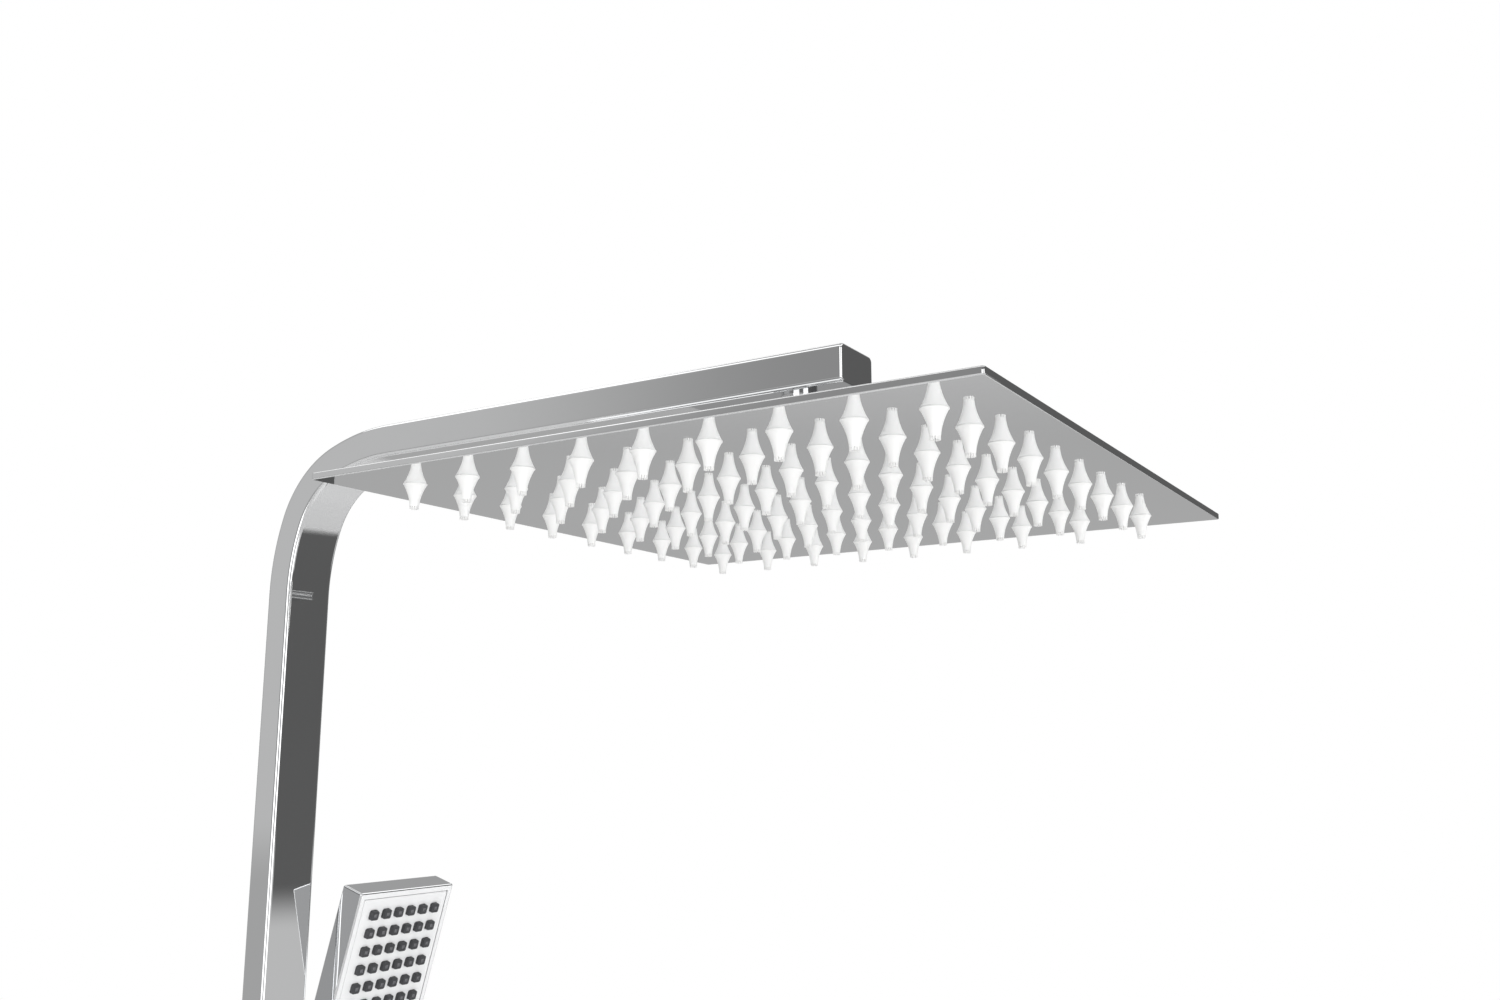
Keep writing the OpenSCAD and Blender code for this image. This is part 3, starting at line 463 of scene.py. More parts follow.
def softened(corners, steps=5):
    # an outline from (x, y, fillet) corners, with each fillet as an arc
    spots = []
    for k, (x, y, fillet) in enumerate(corners):
        here = Vector((x, y))
        if fillet <= 0:
            spots.append(here)
            continue
        before = (Vector(corners[k - 1][:2]) - here).normalized()
        after = (Vector(corners[(k + 1) % len(corners)][:2]) - here).normalized()
        half = before.angle(after) / 2
        middle = here + (before + after).normalized() * (fillet / math.sin(half))
        start = here + before * (fillet / math.tan(half)) - middle
        end = here + after * (fillet / math.tan(half)) - middle
        spots += [middle + start.slerp(end, j / steps) for j in range(steps + 1)]
    return spots


def raised(spots, height):
    return [Vector((s.x, s.y, height)) for s in spots]


def skin(bm, rings, closed=False):
    # faces between rings of equal count; an open stack is capped at both ends
    loops = [[bm.verts.new(spot) for spot in ring] for ring in rings]
    pairs = list(zip(loops, loops[1:]))
    if closed:
        pairs.append((loops[-1], loops[0]))
    for low, high in pairs:
        for k in range(len(low)):
            j = (k + 1) % len(low)
            bm.faces.new((low[k], low[j], high[j], high[k]))
    if not closed:
        bm.faces.new(list(reversed(loops[0])))
        bm.faces.new(loops[-1])
    return loops


def rounding(edge, steps):
    # (inset, drop) pairs up and over a rounded edge, with the drop measured from its top
    if not edge:
        return [(0, 0)]
    angles = [k / steps * math.pi / 2 for k in range(steps + 1)]
    return [(edge * (1 - math.cos(a)), edge * (1 - math.sin(a))) for a in angles]


def bar(width, depth, low, high, corner, edges=(0, 0), steps=6):
    # a rounded bar along Z; edges are the roundings of its lower and upper end
    levels = [(inset, low + drop) for inset, drop in reversed(rounding(edges[0], 4))]
    levels += [(inset, high - drop) for inset, drop in rounding(edges[1], 4)]
    rings = [raised(ringOf(width - 2 * inset, depth - 2 * inset, max(corner - inset, 0.05), steps), z)
             for inset, z in levels]
    return lambda bm: skin(bm, rings)


def around(radius, angle, height):
    return Vector((radius * math.cos(angle), radius * math.sin(angle), height))


def anglesOf(steps):
    return [2 * math.pi * k / steps for k in range(steps)]


def turned(bm, outline, steps=72, closed=False, flutes=None):
    # a lathe: outline spots are (radius, height); flutes = (count, depth, low, high) cuts grip lines
    def ring(radius, height):
        spots = []
        for angle in anglesOf(steps):
            cut = 0
            if flutes and flutes[2] <= height <= flutes[3]:
                cut = flutes[1] * (0.5 - 0.5 * math.cos(angle * flutes[0]))
            spots.append(around(radius - cut, angle, height))
        return spots
    skin(bm, [ring(s[0], s[1]) for s in outline], closed)


threadSet = {
    "pitch": 1.814,   # mm, fourteen turns to the inch
    "depth": 1.05,
    "steps": 40,      # points round the thread
    "perTurn": 6,     # rings in each turn
    "rise": 3,        # how fast the thread comes up from its ends
    "runOut": 0.25,   # share of its depth that is left at the far end
    "blunt": 0.45,    # mm off the crest where it has faded away
}


def threaded(bm, radius, bore, low, high):
    # a pipe thread along Z with a real helix, faded out at both ends
    pitch, steps = threadSet["pitch"], threadSet["steps"]
    count = int((high - low) / pitch * threadSet["perTurn"])
    rise = threadSet["rise"]
    rings = [[around(bore, angle, low) for angle in anglesOf(steps)]]
    for k in range(count + 1):
        height = low + (high - low) * k / count
        fade = min(1, rise * k / count, rise * (count - k) / count + threadSet["runOut"])
        ring = []
        for angle in anglesOf(steps):
            phase = (height / pitch - angle / (2 * math.pi)) % 1
            cut = threadSet["depth"] * abs(2 * phase - 1) * fade + threadSet["blunt"] * (1 - fade)
            ring.append(around(radius - cut, angle, height))
        rings.append(ring)
    rings.append([around(bore, angle, high) for angle in anglesOf(steps)])
    skin(bm, rings, closed=True)


def rod(radius, low, high, steps=48):
    return lambda bm: turned(bm, [(radius, low), (radius, high)], steps)


def repeated(draw, spots):  # the same drawing again at each (x, y, z)
    def drawAll(bm):
        for spot in spots:
            before = len(bm.verts)
            draw(bm)
            bm.verts.ensure_lookup_table()
            bmesh.ops.translate(bm, verts=bm.verts[before:], vec=spot)
    return drawAll


def block(low, high):
    def draw(bm):
        for vertex in bmesh.ops.create_cube(bm, size=1)["verts"]:
            vertex.co = Vector([low[k] + (vertex.co[k] + 0.5) * (high[k] - low[k]) for k in range(3)])
    return draw


def facing(origin, axis):  # a frame at origin whose Z lies along axis and whose Y points up
    return Matrix.Translation(origin) @ Vector(axis).to_track_quat("Z", "Y").to_matrix().to_4x4()


def meshFrom(draw, place):
    bm = bmesh.new()
    draw(bm)
    bmesh.ops.recalc_face_normals(bm, faces=bm.faces)
    for face in bm.faces:
        face.smooth = True
    mesh = bpy.data.meshes.new("drawn")
    bm.to_mesh(mesh)
    bm.free()
    mesh.transform(Matrix.Scale(mm, 4) @ place)
    return mesh


def settle(piece):  # applies the piece's modifiers to its mesh
    graph = bpy.context.evaluated_depsgraph_get()
    mesh = bpy.data.meshes.new_from_object(piece.evaluated_get(graph), depsgraph=graph)
    piece.modifiers.clear()
    piece.data = mesh


def joined(piece, draw, place, operation):
    tool = bpy.data.objects.new("tool", meshFrom(draw, place))
    bpy.context.scene.collection.objects.link(tool)
    step = piece.modifiers.new("step", "BOOLEAN")
    step.operation, step.object, step.solver = operation, tool, "EXACT"
    settle(piece)
    bpy.data.objects.remove(tool)


identity = Matrix.Identity(4)
pieceSet = {
    "edgeSteps": 3,    # segments in a softened edge
    "edgeFrom": 35,    # degrees between two faces, from where their edge is softened
    "sharpFrom": 32,   # and from where it is shaded as a sharp one
}


def makePiece(name, draw, nodes, place=identity, cuts=(), adds=(), common=None, soften=0.0, paint=None):
    # a piece that stands for CAD nodes: it rides on their body and takes their finish;
    # cuts, adds and common are (drawing, place) pairs
    piece = bpy.data.objects.new(name, meshFrom(draw, place))
    bpy.context.scene.collection.objects.link(piece)
    for draw2, place2 in adds:
        joined(piece, draw2, place2, "UNION")
    if common:
        joined(piece, common[0], common[1], "INTERSECT")
    for draw2, place2 in cuts:
        joined(piece, draw2, place2, "DIFFERENCE")
    if soften:
        edge = piece.modifiers.new("edge", "BEVEL")
        edge.width, edge.segments, edge.limit_method = soften * mm, pieceSet["edgeSteps"], "ANGLE"
        edge.angle_limit = math.radians(pieceSet["edgeFrom"])
        settle(piece)
    for face in piece.data.polygons:
        face.use_smooth = True
    piece.data.set_sharp_from_angle(angle=math.radians(pieceSet["sharpFrom"]))
    even = piece.modifiers.new("even", "WEIGHTED_NORMAL")
    even.keep_sharp = True
    settle(piece)
    slot = frame["nodes"][nodes[0]].data.materials[0].name
    piece.data.materials.clear()
    piece.data.materials.append(finishes[slot])
    if paint:
        paint(piece)
    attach(piece, frame["nodes"][nodes[0]]["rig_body"])
    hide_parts(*nodes)
    return piece


# Riser, arm and ball joint.

riserSet = {
    "corner": 2.0,         # outer radius of the tube's edges
    "wall": 1.5,
    "wideRadius": 100.5,   # centre line where the bend starts and ends
    "tightRadius": 44.0,   # centre line in the middle of the bend
    "wideTurn": 20.0,      # degrees turned on each wide radius
    "arcSteps": 26,
    "endEdge": 1.0,        # rounding round the arm's end face
    "plugPlay": 0.1,       # between the cap's plug and the tube
    "studHole": 4.0,       # radius of the hole for the wall stud
    "studDeep": (-2, 2.5),
}
capLow, capHigh = span("arm_end_cap")
riserLow, riserHigh = span("riser_tube")
tubeWide, tubeDeep = capHigh.x - capLow.x, capHigh.z - capLow.z
tubeY, armZ = riserHigh.y - tubeDeep / 2, capHigh.z - tubeDeep / 2


def bendStations():
    # (y, z, turn) along the centre line, from the foot to the arm's end
    wide, tight = riserSet["wideRadius"], riserSet["tightRadius"]
    first = math.radians(riserSet["wideTurn"])
    last = math.pi / 2 - first
    size = wide * math.sin(first) + tight * (math.sin(last) - math.sin(first)) + wide * (1 - math.sin(last))
    y, z = tubeY, armZ - size
    stations = [(y, riserLow.z, 0.0), (y, z, 0.0)]
    for radius, start, end in ((wide, 0, first), (tight, first, last), (wide, last, math.pi / 2)):
        for k in range(1, riserSet["arcSteps"] + 1):
            turn = start + (end - start) * k / riserSet["arcSteps"]
            across = radius * (math.cos(start) - math.cos(turn))
            along = radius * (math.sin(turn) - math.sin(start))
            stations.append((y - across, z + along, turn))
        y, z = stations[-1][:2]
    stations.append((riserLow.y, armZ, math.pi / 2))
    return stations


def drawRiser(bm):
    wall = riserSet["wall"]
    outer = ringOf(tubeWide, tubeDeep, riserSet["corner"], 10)
    inner = ringOf(tubeWide - 2 * wall, tubeDeep - 2 * wall, riserSet["corner"] - wall, 10)
    skins = []
    for profile in (outer, inner):
        rings = []
        for y, z, turn in bendStations():
            rings.append([Vector((s.x, y + s.y * math.cos(turn), z + s.y * math.sin(turn))) for s in profile])
        skins.append(rings)
    skin(bm, skins[0] + skins[1][::-1], closed=True)


def drawCap(bm):
    plate = riserLow.y - capLow.y
    plug = capHigh.y - riserLow.y
    inside, corner = 2 * riserSet["wall"] + riserSet["plugPlay"], riserSet["corner"]
    plugRing = ringOf(tubeWide - inside, tubeDeep - inside, corner - riserSet["wall"], 10)
    rings = [raised(plugRing, -plug), raised(plugRing, 0), raised(ringOf(tubeWide, tubeDeep, corner, 10), 0)]
    for inset, drop in rounding(min(riserSet["endEdge"], plate), 6):
        ring = ringOf(tubeWide - 2 * inset, tubeDeep - 2 * inset, corner - inset / 2, 10)
        rings.append(raised(ring, plate - drop))
    skin(bm, rings)


neckSet = {
    "radius": 7.25,
    "bore": 4.5,
    "foot": 9.5,       # radius of the foot inside the arm
    "footDeep": 2.0,
    "ballPlay": 0.3,   # between its hollow end and the ball
}
neckLow, neckHigh = span("arm_neck")
headMid = Vector((0, (neckLow.y + neckHigh.y) / 2, 0))
studLow, studHigh = span("riser_stud")
overHead = Matrix.Translation(headMid)

makePiece("riserTube", drawRiser, ["riser_tube"], cuts=[
    (rod(neckSet["radius"], capLow.z - 1, capLow.z + riserSet["wall"] + 0.5), overHead),
    (rod(riserSet["studHole"], *riserSet["studDeep"]),
     facing((0, riserHigh.y - riserSet["wall"], (studLow.z + studHigh.z) / 2), (0, 1, 0))),
])
makePiece("armEndCap", drawCap, ["arm_end_cap"], facing((0, riserLow.y, armZ), (0, -1, 0)))

ballJoint = Vector(joint("head_tilt")["pos_m"]) / mm
ballRadius = (span("swivel_ball")[1].x - span("swivel_ball")[0].x) / 2


def onSphere(radius, height):  # the sphere's radius at a height above the ball's centre
    return math.sqrt(max(radius ** 2 - height ** 2, 0))


def drawNeck(bm):
    wide = (neckHigh.x - neckLow.x) / 2
    shoulder, step = span("swivel_nut")[1].z, neckHigh.z - neckSet["footDeep"]
    hollow = ballRadius + neckSet["ballPlay"]
    r, bore, foot = neckSet["radius"], neckSet["bore"], neckSet["foot"]
    mouth = onSphere(hollow, neckLow.z - ballJoint.z)
    relief = [mouth * (1 - share) + bore * share for share in (0, 0.25, 0.5, 0.75, 1)]
    outline = softened([
        (wide, neckLow.z, 0.3), (wide, shoulder, 0.8), (r, shoulder, 0.5), (r, step, 0),
        (foot, step, 0), (foot, neckHigh.z, 0.3), (bore, neckHigh.z, 0)])
    outline += [Vector((x, ballJoint.z + onSphere(hollow, x))) for x in reversed(relief)]
    turned(bm, outline, 96, closed=True)


nutSet = {
    "chamfer": 1.0,
    "knurls": 60,
    "knurlDepth": 0.45,
    "knurlEnds": (4.2, 3.2),   # plain part under the knurls and over them
    "boreRadius": 10.5,
    "seatPlay": 0.05,          # between the nut and the ball
    "seatTop": 1.7,            # where the seat begins, over the ball's centre
    "seat": (0.5, -1, -2.5, -4, -5, -6),  # and the heights on its way down
}


def drawNut(bm):
    low, high = span("swivel_nut")
    radius, cut, bore = (high.x - low.x) / 2, nutSet["chamfer"], nutSet["boreRadius"]
    seat, top = ballRadius + nutSet["seatPlay"], nutSet["seatTop"]
    start, end = low.z + nutSet["knurlEnds"][0], high.z - nutSet["knurlEnds"][1]
    outline = [(radius - cut, low.z), (radius, low.z + cut), (radius, start - 0.5), (radius, start),
               (radius, end), (radius, end + 0.5), (radius, high.z - cut), (radius - cut, high.z),
               (bore, high.z), (bore, ballJoint.z + top)]
    outline += [(onSphere(seat, h), ballJoint.z + h) for h in (top, *nutSet["seat"])]
    turned(bm, outline, 360, closed=True, flutes=(nutSet["knurls"], nutSet["knurlDepth"], start, end))


ballSet = {"bore": 3.0, "stem": 4.5, "steps": 28}


def drawBall(bm):
    bore, stem, steps = ballSet["bore"], ballSet["stem"], ballSet["steps"]
    low = span("swivel_ball")[0].z
    top, foot = math.acos(bore / ballRadius), -math.acos(stem / ballRadius)
    angles = [top + (foot - top) * k / steps for k in range(steps + 1)]
    outline = [(ballRadius * math.cos(a), ballJoint.z + ballRadius * math.sin(a)) for a in angles]
    turned(bm, outline + [(stem, low), (bore, low)], 96, closed=True)


hubSet = {"edge": 1.6, "bore": 4.55, "boreEdge": 0.4}


def drawHub(bm):
    low, high = span("head_hub")
    radius, bore = (high.x - low.x) / 2, hubSet["bore"]
    outline = softened([(radius, low.z, 0), (radius, high.z, hubSet["edge"]),
                        (bore, high.z, hubSet["boreEdge"]), (bore, low.z, 0)], 7)
    turned(bm, outline, 96, closed=True)


makePiece("armNeck", drawNeck, ["arm_neck"], overHead)
makePiece("swivelNut", drawNut, ["swivel_nut"], overHead)
makePiece("swivelBall", drawBall, ["swivel_ball"], overHead)
makePiece("headHub", drawHub, ["head_hub"], overHead)
print("riser, arm and ball joint made")


# Rain head.

headSet = {
    "corner": 0.9,
    "edge": 0.5,       # rounding along the head's upper and lower edges
    "rim": 3.0,        # welded rim round the water space
    "topSkin": 0.8,
    "holeRadius": 2.8,
    "rows": 9,         # of nozzles, both ways
}
sprayLow, sprayHigh = span("head_spray_sheet")
topLow, topHigh = span("head_top_sheet")
headSide = sprayHigh.x - sprayLow.x
nozzleLow, nozzleHigh = span("rain_nozzles")


def nozzleSpots():
    # middles of the nozzles, in rows and columns
    foot = nozzleSet["foot"]
    first, last = nozzleLow.x + foot, nozzleHigh.x - foot
    rows = headSet["rows"]
    lines = [first + (last - first) * k / (rows - 1) for k in range(rows)]
    return [(x, y) for x in lines for y in lines]


spraySheet = bar(headSide, headSide, sprayLow.z, sprayHigh.z, headSet["corner"], (headSet["edge"], 0))
topSheet = bar(headSide, headSide, topLow.z, topHigh.z, headSet["corner"], (0, headSet["edge"]))
waterHalf = headSide / 2 - headSet["rim"]
waterSpace = block((-waterHalf, -waterHalf, topLow.z - 1),
                   (waterHalf, waterHalf, topHigh.z - headSet["topSkin"]))


nozzleSet = {
    "foot": 4.2,        # radius against the sheet
    "tip": 1.6,
    "bore": 0.6,
    "tipBore": 1.05,    # hollow between the teeth
    "teeth": 12,
    "toothDepth": 1.0,
    "flare": 2.0,       # how fast it opens towards the foot
    "flareStart": 0.45,  # under the sheet
    "footRim": 0.22,    # upright edge of the foot
    "collar": 0.8,      # reaches up into the sheet's hole
    "gapSteps": 2,      # steps round that each gap between two teeth takes
    "steps": 60,
}


def drawNozzles(bm):
    drop, steps = sprayLow.z - nozzleLow.z, nozzleSet["steps"]
    tip, foot, bore = nozzleSet["tip"], nozzleSet["foot"], nozzleSet["bore"]
    tipEnd, collar = -drop + nozzleSet["toothDepth"], nozzleSet["collar"]
    outline = [(bore, tipEnd + 0.8), (bore, tipEnd), (nozzleSet["tipBore"], tipEnd), (tip, tipEnd)]
    for k in range(1, 11):
        height = tipEnd - (nozzleSet["flareStart"] + tipEnd) * k / 10
        share = (height + drop) / drop
        outline.append((tip + (foot - tip) * share ** nozzleSet["flare"], height))
    outline += [(foot, -nozzleSet["footRim"]), (foot, 0.0), (headSet["holeRadius"], 0.0),
                (headSet["holeRadius"], collar), (bore, collar)]
    one = bmesh.new()
    turned(one, outline, steps, closed=True)
    perTooth = steps // nozzleSet["teeth"]

    def isTooth(face):  # a part of the ring at the tip that stands out as a tooth
        inner = nozzleSet["tipBore"] - 0.01
        if any(abs(v.co.z - tipEnd) > 1e-4 or v.co.xy.length < inner for v in face.verts):
            return False
        middle = face.calc_center_median()
        share = math.atan2(middle.y, middle.x) % (2 * math.pi) / (2 * math.pi)
        return int(share * steps) % perTooth < perTooth - nozzleSet["gapSteps"]

    ends = [face for face in one.faces if isTooth(face)]
    grown = bmesh.ops.extrude_face_region(one, geom=ends)
    down = [g for g in grown["geom"] if isinstance(g, bmesh.types.BMVert)]
    bmesh.ops.translate(one, verts=down, vec=(0, 0, -nozzleSet["toothDepth"]))
    bmesh.ops.delete(one, geom=[face for face in ends if face.is_valid], context="FACES")
    pattern = bpy.data.meshes.new("pattern")
    one.to_mesh(pattern)
    one.free()
    repeated(lambda target: target.from_mesh(pattern), [(x, y, sprayLow.z) for x, y in nozzleSpots()])(bm)
    bpy.data.meshes.remove(pattern)


drawHoles = repeated(rod(headSet["holeRadius"], sprayLow.z - 1, sprayHigh.z + 1, 24),
                     [(x, y, 0) for x, y in nozzleSpots()])
makePiece("sprayPlateSheet", spraySheet, ["head_spray_sheet"], overHead, cuts=[(drawHoles, overHead)])
makePiece("headTopSheet", topSheet, ["head_top_sheet"], overHead, cuts=[
    (waterSpace, overHead),
    (rod(hubSet["bore"], topLow.z - 1, topHigh.z + 1), overHead),
])
makePiece("rainNozzles", drawNozzles, ["rain_nozzles"], overHead)
print("rain head made:", headSet["rows"] ** 2, "nozzles")


# Hand shower. It is drawn upright, with Z along the handle and Y away from the spray.

handSet = {
    "corner": 0.9,        # rounding down the blade's long edges
    "topEdge": 0.9,       # rounding round the blade's upper end
    "slim": 9.8,          # radius of the handle's lower end
    "wide": 12.0,         # and of its upper end
    "coneTop": 22.0,      # heights over the holder's pivot: where the handle stops growing wider,
    "shoulder": 28.0,     # where it starts to turn into the blade
    "blade": 50.0,        # and where it has done so
    "recessPlay": 0.02,
    "hollowWall": 2.0,    # of the water space behind the plate
    "hollowDeep": 6.5,
    "bore": 4.5,          # waterway through the handle
    "inletBore": 7.5,
    "sleeve": 7.4,        # radius of the inlet's sleeve
    "gap": 0.25,          # between the frame and the plate
    "plateCorner": 1.0,
    "frameTail": 6.0,     # how far the pale front reaches down below the plate
    "dimple": 0.5,        # depth of the middle of each jet
    "dimpleSide": 1.7,
}
cradleTilt = joint("cradle_tilt")
liftAxis = Vector(joint("handset_lift")["axis"]).normalized()
handPlace = Matrix.Translation(Vector(cradleTilt["pos_m"]) / mm) @ Matrix.Rotation(
    math.atan2(-liftAxis.y, liftAxis.z), 4, "X")
bladeLow, bladeHigh = spanIn("handset_body", handPlace)
plateLow, plateHigh = spanIn("handset_spray_plate", handPlace)
jetLow, jetHigh = spanIn("handset_nozzle_mat", handPlace)
inletLow, inletHigh = spanIn("handset_inlet", handPlace)
bladeWide, bladeDeep = bladeHigh.x - bladeLow.x, -2 * plateLow.y
frameSide = (bladeWide - (plateHigh.x - plateLow.x)) / 2


def bladeRing(height, width, depth, corner):
    return raised(ringOf(width, depth, corner, 8, (10, 4)), height)


def handleRing(height, radius):  # a circle with as many points, each in the same direction
    return [around(radius, math.atan2(spot.y, spot.x), height) for spot in bladeRing(0, 2, 2, 0.5)]


def drawBlade(bm):
    low, coneTop, shoulder = bladeLow.z, handSet["coneTop"], handSet["shoulder"]
    slim, wide, corner = handSet["slim"], handSet["wide"], handSet["corner"]
    rings = [handleRing(low, slim - 0.5), handleRing(low + 0.15, slim - 0.15), handleRing(low + 0.5, slim)]
    rings += [handleRing(low + (coneTop - low) * k / 6, slim + (wide - slim) * k / 6) for k in range(1, 7)]
    rings.append(handleRing(shoulder - 1, wide))
    circle, flat = handleRing(0, wide), bladeRing(0, bladeWide, bladeDeep, corner)
    for k in range(1, 11):
        share = k / 10
        eased = share * share * (3 - 2 * share)
        height = shoulder + (handSet["blade"] - shoulder) * share
        rings.append(raised([a.lerp(b, eased) for a, b in zip(circle, flat)], height))
    for inset, drop in rounding(handSet["topEdge"], 5):
        rings.append(bladeRing(bladeHigh.z - drop, bladeWide - 2 * inset, bladeDeep - 2 * inset,
                               max(corner - inset * 0.5, 0.3)))
    skin(bm, rings)


def behindPlate(grown, front, back):  # a block like the spray plate, but larger by grown all round
    return block((plateLow.x - grown, front, plateLow.z - grown),
                 (plateHigh.x + grown, back, plateHigh.z + grown))


jetSet = {
    "columns": 6,
    "rows": 9,
    "side": 4.4,
    "below": 8.8,      # from the blade's lower end to the lowest row
    "above": 10.8,     # from its upper end to the highest row
    "sides": 10.5,     # from its edges to the outer columns
    "corner": 0.9,
    "play": 0.12,      # round each jet in its hole
    "edge": 0.35,
}


def jetSpots():
    low = bladeHigh.z - (plateHigh.z - plateLow.z) - 2 * frameSide
    left, right = bladeLow.x + jetSet["sides"], bladeHigh.x - jetSet["sides"]
    down, up = low + jetSet["below"], bladeHigh.z - jetSet["above"]
    columns, rows = jetSet["columns"], jetSet["rows"]
    return [(left + (right - left) * i / (columns - 1), down + (up - down) * j / (rows - 1))
            for i in range(columns) for j in range(rows)]


def squareJet(bm, x, z, side, corner, stations):
    # a rounded square prism along Y; stations are (y, inset) pairs
    rings = []
    for y, inset in stations:
        ring = ringOf(side - 2 * inset, side - 2 * inset, max(corner - inset, 0.08), 4)
        rings.append([Vector((x + s.x, y, z + s.y)) for s in ring])
    skin(bm, rings)


def paintFrame(piece):
    # the flat front of the blade is the same pale plastic as the plate
    piece.data.materials.append(finishes["spray_plate"])
    back, tail = handPlace.inverted(), plateLow.z - handSet["frameTail"]
    for face in piece.data.polygons:
        spots = [back @ (piece.data.vertices[v].co / mm) for v in face.vertices]
        if max(s.y for s in spots) < plateLow.y + 0.05 and min(s.z for s in spots) > tail:
            face.material_index = 1


def drawPlate(bm):
    gap = handSet["gap"]
    width, tall = plateHigh.x - plateLow.x - 2 * gap, plateHigh.z - plateLow.z - 2 * gap
    middle = (plateHigh.z + plateLow.z) / 2
    rings = []
    for y, inset in ((plateHigh.y, 0), (plateLow.y + 0.3, 0), (plateLow.y + 0.09, 0.09), (plateLow.y, 0.3)):
        ring = ringOf(width - 2 * inset, tall - 2 * inset, handSet["plateCorner"] - inset, 5)
        rings.append([Vector((s.x, y, middle + s.y)) for s in ring])
    skin(bm, rings)


def drawPlateHoles(bm):
    side, corner = jetSet["side"] + 2 * jetSet["play"], jetSet["corner"] + jetSet["play"]
    for x, z in jetSpots():
        squareJet(bm, x, z, side, corner, ((plateLow.y - 1, 0), (plateHigh.y + 1, 0)))


def drawJets(bm):
    front, edge, face = jetLow.y, jetSet["edge"], plateHigh.y
    block((jetLow.x, face, jetLow.z), jetHigh)(bm)
    border = jetSet["side"] / 2 - handSet["dimpleSide"] / 2
    stations = ((face, 0), (front + edge, 0), (front + edge * 0.3, edge * 0.3), (front, edge),
                (front, border), (front + handSet["dimple"], border + 0.15))
    for x, z in jetSpots():
        squareJet(bm, x, z, jetSet["side"], jetSet["corner"], stations)


def paintJets(piece):
    # the bottom of each jet's dimple, with its sides, takes a lighter grey: a painted highlight
    piece.data.materials.append(jetDimpleHighlight)
    back, spots = handPlace.inverted(), jetSpots()
    front, bottom = jetLow.y - 0.05, jetLow.y + handSet["dimple"] + 0.05
    for face in piece.data.polygons:
        spot = back @ (face.center / mm)
        if front < spot.y < bottom and face.area < 4e-6:
            middle = min(spots, key=lambda j: (j[0] - spot.x) ** 2 + (j[1] - spot.z) ** 2)
            if max(abs(middle[0] - spot.x), abs(middle[1] - spot.z)) < handSet["dimpleSide"] / 2:
                face.material_index = 1


def drawInlet(bm):
    threaded(bm, (inletHigh.x - inletLow.x) / 2, handSet["bore"], inletLow.z, bladeLow.z)


def sleeve(bore, radius, low, high, steps):  # a plain pipe
    outline = [(bore, low), (radius, low), (radius, high), (bore, high)]
    return lambda bm: turned(bm, outline, steps, closed=True)


inletSleeve = sleeve(handSet["bore"], handSet["sleeve"], bladeLow.z - 0.5, inletHigh.z, 48)
makePiece("handShowerBody", drawBlade, ["handset_body"], handPlace, cuts=[
    (behindPlate(handSet["recessPlay"], bladeLow.y - 1, plateHigh.y + 0.01), handPlace),
    (behindPlate(-handSet["hollowWall"], plateHigh.y - 0.5, plateHigh.y + handSet["hollowDeep"]), handPlace),
    (rod(handSet["inletBore"], bladeLow.z - 1, inletHigh.z + 0.02), handPlace),
    (rod(handSet["bore"], inletHigh.z - 1, plateLow.z + 4), handPlace),
], paint=paintFrame)
makePiece("handSprayPlate", drawPlate, ["handset_spray_plate"], handPlace, cuts=[(drawPlateHoles, handPlace)])
makePiece("handJets", drawJets, ["handset_nozzle_mat"], handPlace, paint=paintJets)
makePiece("handInlet", drawInlet, ["handset_inlet"], handPlace, adds=[(inletSleeve, handPlace)])
print("hand shower made:", len(jetSpots()), "jets")


# Holder.

holderSet = {
    "corner": 2.0,        # rounding of the slider's upright edges
    "edge": 0.6,          # rounding of its top and bottom
    "wing": 16.0,         # width of the wing that carries the cradle
    "step": 16.0,         # how far the wing reaches behind the slider
    "bore": 5.05,         # pivot bore radius
    "screwHole": 2.4,
    "screwHead": 3.6,
    "padHole": 4.0,
    "cradleEdge": 1.2,
    "slot": 13.0,         # opening in front, wider than the hose
    "liner": 1.8,         # liner and its clearance inside the cradle
    "neck": 12.0,         # radius of the neck between slider and cradle
    "pivot": 5.0,
    "pivotLength": 10.0,
    "pivotBore": 2.0,     # for the pivot screw
    "gripRadius": 10.9,
    "gripFlutes": 12,
    "gripDepth": 0.9,
    "gripFrom": 3.5,      # start of the grip, off the slider's side
    "boss": 6.0,          # radius of the boss under it
    "clampScrew": 3.0,
    "coneTurn": 38.0,     # mm from the handle's lower end to the pivot's height
    "coneLength": 60.0,   # over which the handle grows wider
}
sliderLow, sliderHigh = span("holder_slider")
linerLow, linerHigh = span("holder_liner")
knobLow, knobHigh = span("clamp_knob")
pivotAt = Vector(cradleTilt["pos_m"]) / mm
holderZ = (sliderLow.z + sliderHigh.z) / 2


def drawSlider(bm):
    low, high, r = sliderLow, sliderHigh, holderSet["corner"]
    inner = high.x - holderSet["wing"]
    back = high.y - holderSet["step"]
    outline = softened([(low.x, low.y, r), (high.x, low.y, r), (high.x, high.y, r), (inner, high.y, r),
                        (inner, back, 1.0), (low.x, back, r)])
    skin(bm, [raised(outline, low.z), raised(outline, high.z)])


